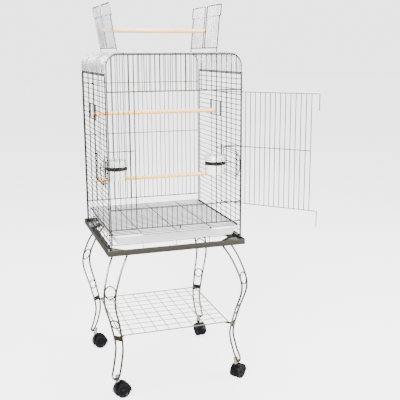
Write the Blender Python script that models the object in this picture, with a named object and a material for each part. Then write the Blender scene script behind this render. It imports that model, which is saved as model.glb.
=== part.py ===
"""A play top bird cage of chromed wire on a rolling stand.

Lengths are in metres. The cage's own frame has +X to the right, +Y to the back and +Z up, with
its centre over the origin and the floor at zero. Every piece hangs from one empty, which moves
the whole model so that the middle of its overall box stands over the world origin.
"""

import bmesh
import bpy
from math import cos, pi, radians, sin, sqrt
from mathutils import Matrix, Vector

# Wire sizes and fits
FRAME = 0.0044            # square side of a panel's outer wires
EDGE = 0.0042             # uprights beside the front doorway
THIN = 0.0030             # frames of the small doors, the rack and the grate
BAR = 0.0019              # filling bars
CLEAR = 0.0003            # gap between two pieces that touch
RUN = 0.0005              # gap beside a piece that moves
RING_WIRE = 0.0020        # wire of the hinge rings
RING_SIDES = 8

# Cage body
CAGE_WIDE = 0.508         # between the side walls' wires
CAGE_DEEP = 0.508         # between the front and back panels' wires
GAPS_ACROSS = 26          # gaps between upright bars, front and back
WALL_RISE = 0.0290        # base's ledge to the lowest wire of a side wall
WALL_TALL = 0.6118        # lowest wire to the top wire of a side wall
WALL_GAPS = 32            # gaps between level bars of a side wall
FRONT_OVER = 0.0174       # grate to the lowest wire of the front panel
BACK_OVER = 0.0264        # grate to the lowest wire of the back panel
BACK_STAY_RISES = (0.284, 0.497)       # lowest wire of the back panel to its two stays
DOORWAY_RISE = 0.075      # lowest wire of the front panel to the foot of the doorway
DOORWAY_TALL = 0.421
STRIP_STAY_RISE = 0.212   # foot of the doorway to the short level wire beside it
DOORWAY_FIRST, DOORWAY_LAST = 5, 21    # bar numbers that bound the doorway
ROOF_RISE = 0.0762        # top wire of a side wall to the roof's top wires
ROOF_BEND = 0.045         # radius of the roof's two long shoulders
ROOF_WIRES = 26
BEND_STEPS = 2

# Base frame and stand
BASE_SIDE = 0.012         # how far the base frame stands out past the side walls' wires
BASE_END = 0.014          # and past the front and back panels' wires
BASE_HEIGHT = 0.022
SHEET = 0.003             # thickness of the folded base frame
LEDGE = 0.030             # width of the frame's inner ledge
GUSSET = 0.140            # leg of the triangle under each corner
PLATE_LEG = 0.085         # leg of the bright plate inside each corner
PLATE = 0.002
ROD_RADIUS = 0.0037
ROD_SIDES = 6
LEG_STEPS = 14
LEG_TOP = 0.5677
TOP_INSIDE = 0.0114       # gusset's inner edge to the top of a leg
SHOULDER_DROP, SHOULDER_OUT = 0.0677, 0.0495    # below the leg's top, and out from it
KNEE_DROP, KNEE_OUT = 0.1677, 0.0855
CALF, CALF_OUT = 0.290, 0.0530
ANKLE, ANKLE_OUT = 0.200, 0.0315
SHIN, SHIN_OUT = 0.130, 0.0460
HEEL_RISE, HEEL_OUT = 0.0285, 0.0605            # above the foot of the caster's socket
TOP_SPREAD = 0.031        # half the distance between a leg's two rods at the top
ANKLE_SPREAD = 0.016
HEEL_STEPS = 4
RING_DROP = 0.1377        # leg's top to the upper ring between the rods
RING_RISE = 0.0070        # calf to the lower ring
SCROLL_WIRE = 0.0036
SCROLL_SIDES = 10
SHELF_HEIGHT = 0.238
SHELF_OUT = 0.0169        # leg's top to the shelf's corner, outwards
SHELF_CELLS = 9
CLAMP_HIGH = 0.024
CLAMP_THICK = 0.006
TONGUE_WIDE = 0.014
TONGUE_UNDER = 0.014      # how far a tongue reaches under the shelf's corner

# Casters
STEM_INSET = 0.010        # middle of a leg's heel to its swivel axis
STEM_RADIUS = 0.0045
STEM_SIDES = 10
STEM_SHORT = 0.0015       # how far a stem ends below the top of its socket
SOCKET_WALL = 0.0035
SOCKET_TALL = 0.026
TRAIL = 0.018
WHEEL_RADIUS = 0.0275
WHEEL_WIDE = 0.0165
WHEEL_CHAMFER = 0.003
WHEEL_SIDES = 14
AXLE_RADIUS = 0.0032
WEB = 0.006
HOOD_GAP = 0.0016
HOOD_WALL = 0.0024
HOOD_STEPS = 8
HOOD_FRONT, HOOD_REAR = -12, 205       # degrees round the axle where the hood starts and ends
BOSS_RADIUS = 0.0080
BOSS_OVER = 0.0025        # top of the wheels to the foot of the boss
BOSS_TALL = 0.0080        # foot of the boss to the foot of the socket
CASTER_TURNS = {"front_left": 12, "front_right": 35, "back_left": 5, "back_right": -85}

# Tray, rack and grate
RACK_RISE = 0.0310        # base's ledge to the rack
RACK_INSET = 0.0115       # wall or panel to the rails beside it
RACK_FOOT = 0.130         # feet stand at this distance from the middle, and at it
RACK_CROSS = 0.100        # a cross wire lies at this distance from the middle, and one at it
TRAY_DEEP = 0.034
TRAY_WALL = 0.0025
TRAY_SLOPE = 0.014        # how far the tray's sides lean in
TRAY_FRONT = 0.0015       # how far the tray's lip stands out of the front panel
TRAY_BEHIND = 0.016       # tray's and grate's back edge to the back panel
GRATE_BARS = 24
GRATE_STAY = 0.135
LATCH_DROP = 0.0095
LATCH_WIDE = 0.0060

# Roof flaps and play perch
ROOF_SHOULDER = 0.0675    # side wall to the flap's hinge line
FLAP_MEET = 0.0105        # shut flap's edge to the middle of the roof
FLAP_RISE = 0.0012        # how far a shut flap lies above its hinge line
FLAP_FOOT = 0.018         # hinge line to the flap's first level wire
FLAP_GAPS = 8             # roof gaps from the middle to the flap's side
LIP_LONG = 0.040
LIP_BULGE = 0.012
LIP_ROUND = 0.007
FLAP_BARS = 7             # bars in each half of a flap
FLAP_LEFT_OPEN = 98.5     # degrees from shut, as it stands
FLAP_RIGHT_OPEN = 95.0
PERCH_RADIUS = 0.0075
PERCH_SIDES = 16
SLOT_PLAY = 0.0008        # between the play perch and each bar of its slot
PLAY_PERCH_RISE = 0.083   # above the hinge lines
PLAY_PERCH_OVER = 0.008   # how far each end stands out past its flap

# Inner perches
PERCH_UP_RISE, PERCH_UP_BACK = 0.0183, 0.037    # above the window's lower edge
PERCH_LOW_RISE, PERCH_LOW_BACK = 0.190, 0.070   # above the lowest wire of a side wall
WINDOW_ROW, WINDOW_ROWS = 23, 3        # lowest level bar below the window, and its height in gaps

# Front door
DOOR_HINGE = 22           # bar number that carries the door's rings
DOOR_GAPS = 18
DOOR_LOWER = 0.006        # the door's top wire below the doorway's, and its bottom wire above
DOOR_STAY_RISE = 0.218    # foot of the doorway to the door's stay
DOOR_OPEN = 133.0         # degrees from shut, as it stands
HOOK_OUT = 0.028
HOOK_DOWN = 0.058

# Feeders in the side walls
FEEDER_FRONT = -0.200
FEEDER_BACK = -0.040
FEEDER_ROW, FEEDER_ROWS = 11, 6        # lowest level bar beside the opening, and its height in gaps
STAY_FRONT, STAY_MIDDLE, STAY_BACK = -0.140, -0.025, 0.089
FEEDER_PLAY = 0.0030      # between the feeder door's front wire and the opening's
FEEDER_INSET = 0.5        # opening's edge to the feeder door's level wire, in gaps
CUP_IN = 0.058            # cup's middle, inside the wall
CUP_RADIUS = 0.0380
CUP_FOOT = 0.0330
CUP_DEEP = 0.0530
CUP_WALL = 0.0020
CUP_FLANGE = 0.0055
CUP_SIDES = 16
BAND_HIGH = 0.014
BAND_THICK = 0.0020
BAND_PLAY = 0.0006
ARM_APART = 0.050
HOOD_RISE = 0.019
HOOD_LEAN = 0.004
HANDLE_OUT = 0.011
HANDLE_STEPS = 6

CHROME = (0.62, 0.61, 0.59, 1)
PAINTS = {
    "wire": (CHROME, 0.22, 1.0),
    "roof": ((0.72, 0.72, 0.71, 1), 0.20, 1.0),
    "leg": ((0.66, 0.65, 0.62, 1), 0.12, 1.0),
    "base": ((0.13, 0.12, 0.10, 1), 0.45, 0.0),
    "plate": ((0.60, 0.60, 0.60, 1), 0.18, 1.0),
    "shelf": ((0.80, 0.77, 0.66, 1), 0.45, 0.0),
    "tray": ((0.90, 0.90, 0.90, 1), 0.40, 0.0),
    "wood": ((0.78, 0.60, 0.38, 1), 0.60, 0.0),
    "black": ((0.015, 0.015, 0.018, 1), 0.40, 0.0),
    "band": ((0.10, 0.09, 0.08, 1), 0.20, 1.0),
    "cup": ((0.88, 0.88, 0.87, 1), 0.35, 0.0),
    "hood": ((0.72, 0.80, 0.76, 1), 0.15, 0.0),
}

# Places that follow from the sizes
HALF_WIDE = CAGE_WIDE / 2
HALF_DEEP = CAGE_DEEP / 2
CORNER = FRAME + CLEAR    # how far a post stands in from the next panel's plane
POST_X = HALF_WIDE - CORNER
POST_Y = HALF_DEEP - CORNER
PITCH = 2 * POST_X / GAPS_ACROSS
LAYER = (BAR + CLEAR) / 2              # rows and stays lie this far from a panel's middle plane
BASE_WIDE = CAGE_WIDE + 2 * BASE_SIDE
BASE_DEEP = CAGE_DEEP + 2 * BASE_END
BASE_LOW = LEG_TOP + CLEAR
LEDGE_TOP = BASE_LOW + SHEET
PLATE_LOW = LEDGE_TOP + CLEAR
POST_FOOT = PLATE_LOW + PLATE + CLEAR
WALL_LOW = LEDGE_TOP + WALL_RISE
WALL_HIGH = WALL_LOW + WALL_TALL
WALL_PITCH = WALL_TALL / WALL_GAPS
ROOF_TOP = WALL_HIGH + ROOF_RISE
ROOF_LOW = WALL_HIGH + FRAME + CLEAR
ROOF_END = HALF_DEEP - FRAME / 2 - CLEAR
ROOF_PITCH = 2 * (ROOF_END - FRAME) / (ROOF_WIRES - 1)
RACK_HEIGHT = LEDGE_TOP + RACK_RISE
RACK_SIDE = HALF_WIDE - RACK_INSET
RACK_END = HALF_DEEP - RACK_INSET
TRAY_LOW = RACK_HEIGHT + THIN / 2 + CLEAR
TRAY_HIGH = TRAY_LOW + TRAY_DEEP
RAIL_HEIGHT = TRAY_HIGH + THIN / 2
TRAY_BACK = HALF_DEEP - TRAY_BEHIND
GRATE_HEIGHT = RAIL_HEIGHT + THIN + CLEAR
GRATE_FRONT = HALF_DEEP - FRAME / 2 - CLEAR - THIN / 2
FRONT_LOW = GRATE_HEIGHT + FRONT_OVER
BACK_LOW = GRATE_HEIGHT + BACK_OVER
BACK_STAYS = [BACK_LOW + rise for rise in BACK_STAY_RISES]
DOORWAY_LOW = FRONT_LOW + DOORWAY_RISE
DOORWAY_HIGH = DOORWAY_LOW + DOORWAY_TALL
STRIP_STAY = DOORWAY_LOW + STRIP_STAY_RISE
DOOR_STAY = DOORWAY_LOW + DOOR_STAY_RISE
FLAP_HINGE = HALF_WIDE - ROOF_SHOULDER
FLAP_LONG = FLAP_HINGE - FLAP_MEET
LIP_NECK = FLAP_LONG - LIP_LONG
FLAP_HALF = FLAP_GAPS * ROOF_PITCH
SLOT_HALF = PERCH_RADIUS + SLOT_PLAY + FRAME / 2
FEEDER_LOW = WALL_LOW + FEEDER_ROW * WALL_PITCH
FEEDER_HIGH = FEEDER_LOW + FEEDER_ROWS * WALL_PITCH
FEEDER_PLANE = HALF_WIDE + FRAME / 2 + RUN + THIN / 2
CUP_BACK = (FEEDER_FRONT + FEEDER_BACK) / 2
BAND_MIDDLE = (FEEDER_LOW + FEEDER_HIGH) / 2
BAND_INNER = CUP_RADIUS + BAND_PLAY
PERCH_UP = WALL_LOW + WINDOW_ROW * WALL_PITCH + PERCH_UP_RISE
PERCH_LOW = WALL_LOW + PERCH_LOW_RISE
BOSS_LOW = 2 * WHEEL_RADIUS + BOSS_OVER
SOCKET_LOW = BOSS_LOW + BOSS_TALL
STEM_TOP = SOCKET_LOW + SOCKET_TALL - STEM_SHORT
HEEL = SOCKET_LOW + HEEL_RISE
TOP_REACH = (BASE_WIDE / 2 + BASE_DEEP / 2 - GUSSET) / sqrt(2) + TOP_INSIDE
STEM_REACH = TOP_REACH + HEEL_OUT - STEM_INSET
SHELF_HALF = (TOP_REACH + SHELF_OUT) / sqrt(2)
RING_HIGH = LEG_TOP - RING_DROP
RING_LOW = CALF + RING_RISE
LEG_CURVE = (                          # heights, and distances from the cage's middle
    (HEEL, TOP_REACH + HEEL_OUT), (SHIN, TOP_REACH + SHIN_OUT), (ANKLE, TOP_REACH + ANKLE_OUT),
    (CALF, TOP_REACH + CALF_OUT), (LEG_TOP - KNEE_DROP, TOP_REACH + KNEE_OUT),
    (LEG_TOP - SHOULDER_DROP, TOP_REACH + SHOULDER_OUT), (LEG_TOP, TOP_REACH),
)
DOOR_LONG = DOOR_GAPS * PITCH + HOOK_OUT
DOOR_X = -POST_X + DOOR_HINGE * PITCH
DOOR_AWAY = FRAME / 2 + RUN + THIN / 2     # shut door's middle plane in front of the panel's


def clear_scene():
    for old in list(bpy.data.objects):
        bpy.data.objects.remove(old)


def paint(name):
    """The Principled material of one finish, made once."""
    made = bpy.data.materials.get(name)
    if made:
        return made
    colour, rough, metal = PAINTS[name]
    made = bpy.data.materials.new(name)
    made.use_nodes = True
    shader = made.node_tree.nodes["Principled BSDF"]
    shader.inputs["Base Color"].default_value = colour
    shader.inputs["Roughness"].default_value = rough
    shader.inputs["Metallic"].default_value = metal
    return made


def mesh_of(name, build, at, finish):
    """A mesh drawn by build in the parent's frame, moved so that its origin lies at the point."""
    draft = bmesh.new()
    build(draft)
    bmesh.ops.recalc_face_normals(draft, faces=draft.faces)
    bmesh.ops.translate(draft, vec=-Vector(at), verts=draft.verts)
    mesh = bpy.data.meshes.new(name)
    draft.to_mesh(mesh)
    draft.free()
    mesh.materials.append(paint(finish))
    return mesh


def piece(name, finish, parent, layers, at=(0, 0, 0), turn=(0, 0, 0), smooth=False):
    """One named piece. The first layer is its mesh, and each further layer is welded on by a Boolean."""
    body = bpy.data.objects.new(name, mesh_of(name, layers[0], at, finish))
    bpy.context.scene.collection.objects.link(body)
    body.parent = parent
    body.location = at
    body.rotation_euler = turn
    for number, layer in enumerate(layers[1:]):
        part_name = f"{name}_weld_{number}"
        part = bpy.data.objects.new(part_name, mesh_of(part_name, layer, at, finish))
        bpy.context.scene.collection.objects.link(part)
        part.parent = body
        part.hide_render = True
        part.display_type = "WIRE"
        weld = body.modifiers.new(part_name, "BOOLEAN")
        weld.operation = "UNION"
        weld.solver = "EXACT"
        weld.object = part
    if smooth:
        body.data.shade_smooth()
        body.data.set_sharp_from_angle(angle=radians(35))
    return body


def empty(name, parent, at=(0, 0, 0), turn=(0, 0, 0)):
    made = bpy.data.objects.new(name, None)
    bpy.context.scene.collection.objects.link(made)
    made.parent = parent
    made.location = at
    made.rotation_euler = turn
    return made


def skin(draft, rings, closed):
    """Quads between neighbouring rings of points, with caps at open ends."""
    made = [[draft.verts.new(point) for point in ring] for ring in rings]
    sides = len(made[0])
    last = len(made) if closed else len(made) - 1
    for i in range(last):
        here, there = made[i], made[(i + 1) % len(made)]
        for k in range(sides):
            following = (k + 1) % sides
            draft.faces.new((here[k], here[following], there[following], there[k]))
    if not closed:
        draft.faces.new(made[0])
        draft.faces.new(made[-1])


def wire(draft, points, normal, side, closed=False):
    """A square wire along a flat path with mitred corners. The path lies square to the normal."""
    points = [Vector(point) for point in points]
    normal = Vector(normal).normalized()
    half = side / 2
    rings = []
    for i, point in enumerate(points):
        before = points[i - 1] if i or closed else None
        after = points[(i + 1) % len(points)] if i + 1 < len(points) or closed else None
        come = (point - before).normalized() if before else (after - point).normalized()
        go = (after - point).normalized() if after else come
        across = (normal.cross(come) + normal.cross(go)).normalized()
        across *= half / max(across.dot(normal.cross(come)), 0.2)
        up = normal * half
        rings.append([point + up + across, point - up + across, point - up - across, point + up - across])
    skin(draft, rings, closed)


def box(draft, low, high):
    xs, ys, zs = zip(low, high)
    ring = [(xs[0], ys[0]), (xs[1], ys[0]), (xs[1], ys[1]), (xs[0], ys[1])]
    skin(draft, [[(x, y, z) for x, y in ring] for z in zs], False)


def lathe(draft, middle, profile, sides, axis="Z", start=0.0, closed=False):
    """A turned shape: the profile's (radius, height) points run round the axis through the middle."""
    rings = []
    for radius, height in profile:
        ring = []
        for k in range(sides):
            angle = start + 2 * pi * k / sides
            a, b = radius * cos(angle), radius * sin(angle)
            offset = {"X": (height, a, b), "Y": (a, height, b), "Z": (a, b, height)}[axis]
            ring.append(Vector(middle) + Vector(offset))
        rings.append(ring)
    skin(draft, rings, closed)


def slab(draft, outline, low, high, axis="Z"):
    """A flat outline of (a, b) points pulled from low to high along the axis."""
    places = {"Y": lambda a, b, h: (a, h, b), "Z": lambda a, b, h: (a, b, h)}
    rings = [[places[axis](a, b, height) for a, b in outline] for height in (low, high)]
    skin(draft, rings, False)


def ring_radius(side):
    """Corner radius of the middle line of a hinge ring that runs round a square wire."""
    return (side / sqrt(2) + RUN + RING_WIRE / 2) / cos(pi / RING_SIDES)


def hinge_ring(draft, middle, axis, radius):
    """A closed eight-sided wire round a hinge axis."""
    points = []
    for k in range(RING_SIDES):
        angle = 2 * pi * (k + 0.5) / RING_SIDES
        a, b = radius * cos(angle), radius * sin(angle)
        offset = (a, b, 0) if axis == "Z" else (a, 0, b) if axis == "Y" else (0, a, b)
        points.append(Vector(middle) + Vector(offset))
    normal = {"X": (1, 0, 0), "Y": (0, 1, 0), "Z": (0, 0, 1)}[axis]
    wire(draft, points, normal, RING_WIRE, closed=True)


def row_height(row):
    """Height of a level bar of a side wall."""
    return WALL_LOW + row * WALL_PITCH


def bar_x(number):
    """Where an upright bar of the front or back panel stands."""
    return -POST_X + number * PITCH


def arch_height(x):
    """Middle of the arch wire of the front or back panel above a point."""
    bend = ROOF_BEND - CORNER
    beyond = abs(x) - (POST_X - bend)
    top = ROOF_TOP - CORNER
    return top if beyond <= 0 else top - bend + sqrt(max(bend * bend - beyond * beyond, 0))


def arch_path(plane):
    """Feet, posts and the rounded top of the front or back panel."""
    bend = ROOF_BEND - CORNER
    top = ROOF_TOP - CORNER
    right = []
    for step in range(BEND_STEPS + 1):
        angle = pi / 2 * step / BEND_STEPS
        right.append((POST_X - bend + bend * cos(angle), plane, top - bend + bend * sin(angle)))
    left = [(-x, y, z) for x, y, z in reversed(right)]
    return [(POST_X, plane, POST_FOOT)] + right + left + [(-POST_X, plane, POST_FOOT)]


def front_panel(parent):
    plane = -HALF_DEEP
    levels = (FRONT_LOW, DOORWAY_LOW, DOORWAY_HIGH)
    jambs = (DOORWAY_FIRST, DOORWAY_LAST)

    def levels_across(draft):
        for z in levels:
            wire(draft, [(-POST_X, plane, z), (POST_X, plane, z)], (0, 1, 0), FRAME)

    def uprights(draft):
        for number in range(1, GAPS_ACROSS):
            x = bar_x(number)
            side = EDGE if number in jambs else THIN if number == DOOR_HINGE else BAR
            stops = [*levels, arch_height(x)]
            for low, high in zip(stops, stops[1:]):
                in_doorway = low == DOORWAY_LOW and DOORWAY_FIRST < number < DOORWAY_LAST
                if not in_doorway:
                    wire(draft, [(x, plane, low), (x, plane, high)], (0, 1, 0), side)

    def strip_stays(draft):
        outer = plane - LAYER
        for start, end in ((-POST_X, bar_x(DOORWAY_FIRST)), (bar_x(DOORWAY_LAST), POST_X)):
            wire(draft, [(start, outer, STRIP_STAY), (end, outer, STRIP_STAY)], (0, 1, 0), BAR)

    arch = arch_path(plane)
    piece("front_panel", "wire", parent,
          [lambda draft: wire(draft, arch, (0, 1, 0), FRAME), levels_across, uprights, strip_stays])


def back_panel(parent):
    plane = HALF_DEEP

    def low_wire(draft):
        wire(draft, [(-POST_X, plane, BACK_LOW), (POST_X, plane, BACK_LOW)], (0, 1, 0), FRAME)

    def stays(draft):
        for z in BACK_STAYS:
            wire(draft, [(-POST_X, plane + LAYER, z), (POST_X, plane + LAYER, z)], (0, 1, 0), BAR)

    def uprights(draft):
        for number in range(1, GAPS_ACROSS):
            x = bar_x(number)
            ends = [(x, plane - LAYER, BACK_LOW), (x, plane - LAYER, arch_height(x))]
            wire(draft, ends, (0, 1, 0), BAR)

    arch = arch_path(plane)
    piece("back_panel", "wire", parent,
          [lambda draft: wire(draft, arch, (0, 1, 0), FRAME), low_wire, stays, uprights])


def side_wall(parent, name, side):
    """A wall of level bars with an opening for the feeder and a small window at the upper perch's end."""
    plane = side * HALF_WIDE
    rows, stays = side * (HALF_WIDE - LAYER), side * (HALF_WIDE + LAYER)
    normal = (1, 0, 0)
    holes = ((FEEDER_FRONT, FEEDER_BACK, FEEDER_ROW, FEEDER_ROWS),
             (STAY_MIDDLE, STAY_BACK, WINDOW_ROW, WINDOW_ROWS))
    posts = [(plane, -POST_Y, POST_FOOT), (plane, -POST_Y, WALL_HIGH),
             (plane, POST_Y, WALL_HIGH), (plane, POST_Y, POST_FOOT)]

    def low_wire(draft):
        wire(draft, [(plane, -POST_Y, WALL_LOW), (plane, POST_Y, WALL_LOW)], normal, FRAME)

    def level_bars(draft):
        for row in range(1, WALL_GAPS):
            stops = [-POST_Y]
            for front, back, first, count in holes:
                if first < row < first + count:
                    stops += [front, back]
            stops.append(POST_Y)
            for start, end in zip(stops[::2], stops[1::2]):
                wire(draft, [(rows, start, row_height(row)), (rows, end, row_height(row))], normal, BAR)

    def jambs(draft):
        over = BAR / 2 + CLEAR
        for front, back, first, count in holes:
            for y in (front, back):
                ends = [(rows, y, row_height(first) - over), (rows, y, row_height(first + count) + over)]
                wire(draft, ends, normal, THIN)

    def stay_wires(draft):
        for y in (STAY_MIDDLE, STAY_BACK):
            wire(draft, [(stays, y, WALL_LOW), (stays, y, WALL_HIGH)], normal, BAR)
        wire(draft, [(stays, STAY_FRONT, WALL_LOW), (stays, STAY_FRONT, FEEDER_LOW)], normal, BAR)
        wire(draft, [(stays, STAY_FRONT, FEEDER_HIGH), (stays, STAY_FRONT, WALL_HIGH)], normal, BAR)

    def weld_spots(draft):
        spot = BAR / 3
        reach = sorted((rows, stays))
        for z in (FEEDER_LOW, FEEDER_HIGH):
            box(draft, (reach[0], STAY_FRONT - spot, z - spot), (reach[1], STAY_FRONT + spot, z + spot))

    piece(name, "wire", parent,
          [lambda draft: wire(draft, posts, normal, FRAME), low_wire, level_bars, jambs, stay_wires,
           weld_spots])


def roof_side_path(y, side):
    """One roof wire from a skirt, over its shoulder, to the edge of the roof's opening."""
    path = [(side * HALF_WIDE, y, ROOF_LOW)]
    for step in range(BEND_STEPS + 1):
        angle = pi / 2 * step / BEND_STEPS
        across = HALF_WIDE - ROOF_BEND + ROOF_BEND * cos(angle)
        path.append((side * across, y, ROOF_TOP - ROOF_BEND + ROOF_BEND * sin(angle)))
    return path + [(side * FLAP_HINGE, y, ROOF_TOP)]


def roof_wire_places():
    return [(number - (ROOF_WIRES - 1) / 2) * ROOF_PITCH for number in range(ROOF_WIRES)]


def opening_edge():
    """The roof wire that bounds the opening, just past the flap's lip."""
    past = FLAP_HALF + LIP_BULGE + FRAME
    return min(y for y in roof_wire_places() if y > past)


def roof(parent):
    edge = opening_edge()

    def hinge_wires(draft):
        for x in (-FLAP_HINGE, FLAP_HINGE):
            wire(draft, [(x, -ROOF_END, ROOF_TOP), (x, ROOF_END, ROOF_TOP)], (0, 0, 1), FRAME)
        wire(draft, [(-HALF_WIDE, -ROOF_END, ROOF_LOW), (-HALF_WIDE, ROOF_END, ROOF_LOW)], (0, 0, 1), FRAME)

    def shoulders(draft):
        for y in roof_wire_places():
            for side in (-1, 1):
                wire(draft, roof_side_path(y, side), (0, 1, 0), BAR)

    def crown(draft):
        for y in roof_wire_places():
            if abs(y) >= edge - CLEAR:
                size = FRAME - CLEAR if abs(y) < edge + CLEAR else BAR
                wire(draft, [(-FLAP_HINGE, y, ROOF_TOP), (FLAP_HINGE, y, ROOF_TOP)], (0, 1, 0), size)

    def rest_bars(draft):
        height = ROOF_TOP + FLAP_RISE - FRAME - CLEAR
        reach = FLAP_HINGE - FLAP_LONG + FRAME
        for x in (-reach, reach):
            wire(draft, [(x, -edge, height), (x, edge, height)], (0, 0, 1), FRAME)

    skirt = [(HALF_WIDE, -ROOF_END, ROOF_LOW), (HALF_WIDE, ROOF_END, ROOF_LOW)]
    piece("roof", "roof", parent,
          [lambda draft: wire(draft, skirt, (0, 0, 1), FRAME), hinge_wires, shoulders, crown, rest_bars])


def flap(parent, name, side, opened):
    """A roof flap, drawn shut and turned open about its hinge line."""
    hinge = Vector((side * FLAP_HINGE, 0, ROOF_TOP))

    def at(out, y, up=0.0):
        return hinge + Vector((-side * out, y, FLAP_RISE + up))

    def half_frame(way):
        lip = FLAP_HALF + LIP_BULGE
        path = [(FLAP_FOOT, SLOT_HALF), (FLAP_LONG, SLOT_HALF), (FLAP_LONG, lip - LIP_ROUND),
                (FLAP_LONG - LIP_ROUND, lip), (LIP_NECK + LIP_ROUND, lip), (LIP_NECK, lip - LIP_ROUND),
                (LIP_NECK - LIP_ROUND, FLAP_HALF), (ring_radius(FRAME), FLAP_HALF)]
        return [at(out, way * y) for out, y in path]

    def foot_wire(draft):
        wire(draft, [at(FLAP_FOOT, -FLAP_HALF), at(FLAP_FOOT, FLAP_HALF)], (0, 0, 1), FRAME - CLEAR)

    def frames(draft):
        for way in (-1, 1):
            wire(draft, half_frame(way), (0, 0, 1), FRAME)

    def bars(draft):
        gap = (FLAP_HALF - SLOT_HALF) / (FLAP_BARS + 1)
        for way in (-1, 1):
            for number in range(1, FLAP_BARS + 1):
                y = way * (SLOT_HALF + number * gap)
                ends = [at(FLAP_FOOT, y, -LAYER + CLEAR / 2), at(FLAP_LONG, y, -LAYER + CLEAR / 2)]
                wire(draft, ends, (0, 0, 1), BAR)

    def necks(draft):
        for way in (-1, 1):
            past = FLAP_HALF + LIP_ROUND / 2
            neck = [at(LIP_NECK, way * SLOT_HALF, LAYER), at(LIP_NECK, way * past, LAYER)]
            wire(draft, neck, (0, 0, 1), BAR)

    def rings(draft):
        for way in (-1, 1):
            hinge_ring(draft, hinge + Vector((0, way * FLAP_HALF, 0)), "Y", ring_radius(FRAME))

    piece(name, "roof", parent, [foot_wire, frames, bars, necks, rings],
          at=hinge, turn=(0, side * radians(opened), 0))


def rounded_rod(draft, start, end, radius, sides, axis):
    """A rod with slightly rounded ends, along X or Y."""
    index = "XYZ".index(axis)
    long = end[index] - start[index]
    ease = radius / 4
    profile = [(radius - ease, 0), (radius, ease), (radius, long - ease), (radius - ease, long)]
    lathe(draft, start, profile, sides, axis, start=pi / sides)


def play_perch(parent):
    height = ROOF_TOP + PLAY_PERCH_RISE
    lean_left = PLAY_PERCH_RISE * sin(radians(FLAP_LEFT_OPEN - 90))
    lean_right = PLAY_PERCH_RISE * sin(radians(FLAP_RIGHT_OPEN - 90))
    left = -(FLAP_HINGE + lean_left + PLAY_PERCH_OVER)
    right = FLAP_HINGE + lean_right + PLAY_PERCH_OVER

    def rod(draft):
        rounded_rod(draft, (left, 0, height), (right, 0, height), PERCH_RADIUS, PERCH_SIDES, "X")

    piece("play_perch", "wood", parent, [rod], smooth=True)


def inner_perch(parent, name, y, z):
    end = HALF_WIDE - LAYER - BAR / 2 - CLEAR

    def rod(draft):
        rounded_rod(draft, (-end, y, z), (end, y, z), PERCH_RADIUS, PERCH_SIDES, "X")

    piece(name, "wood", parent, [rod], smooth=True)


def perch_bracket(parent, name, side):
    """A flat wire frame inside a wall's window, with a slot that holds the upper perch's end."""
    plane = side * (HALF_WIDE - LAYER - THIN / 2 - CLEAR - THIN / 2)
    low, high = row_height(WINDOW_ROW), row_height(WINDOW_ROW + WINDOW_ROWS)
    loop = [(plane, STAY_MIDDLE, low), (plane, STAY_BACK, low),
            (plane, STAY_BACK, high), (plane, STAY_MIDDLE, high)]
    slot = PERCH_RADIUS + CLEAR + BAR / 2
    under = PERCH_UP - slot

    def slot_bars(draft):
        for y in (PERCH_UP_BACK - slot, PERCH_UP_BACK + slot):
            wire(draft, [(plane, y, low), (plane, y, high)], (1, 0, 0), BAR)

    def seat(draft):
        ends = [(plane, PERCH_UP_BACK - slot, under), (plane, PERCH_UP_BACK + slot, under)]
        wire(draft, ends, (1, 0, 0), BAR - CLEAR)

    piece(name, "wire", parent,
          [lambda draft: wire(draft, loop, (1, 0, 0), THIN, closed=True), slot_bars, seat])


def front_door(parent):
    """The front door, drawn shut and turned open about the bar that its rings go round."""
    hinge = Vector((DOOR_X, -HALF_DEEP, 0))
    low, high = DOORWAY_LOW + DOOR_LOWER, DOORWAY_HIGH - DOOR_LOWER

    def at(out, z, off=0.0):
        return hinge + Vector((-out, -DOOR_AWAY - off, z))

    def level(draft, z):
        hook = [at(0, z), at(DOOR_LONG, z), at(DOOR_LONG, z - HOOK_DOWN)]
        wire(draft, hook, (0, 1, 0), THIN)

    def rings(draft):
        for z in (low, high):
            hinge_ring(draft, hinge + Vector((0, 0, z)), "Z", ring_radius(THIN))

    def uprights(draft):
        for number in range(1, DOOR_GAPS + 1):
            out = number * PITCH
            side = THIN - CLEAR if number in (1, DOOR_GAPS) else BAR
            wire(draft, [at(out, low), at(out, high)], (0, 1, 0), side)

    def stay(draft):
        off = BAR + CLEAR
        wire(draft, [at(PITCH, DOOR_STAY, off), at(DOOR_GAPS * PITCH, DOOR_STAY, off)], (0, 1, 0), BAR)

    piece("front_door", "wire", parent,
          [lambda draft: level(draft, low), lambda draft: level(draft, high), uprights, stay, rings],
          at=hinge, turn=(0, 0, radians(DOOR_OPEN)))


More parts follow.
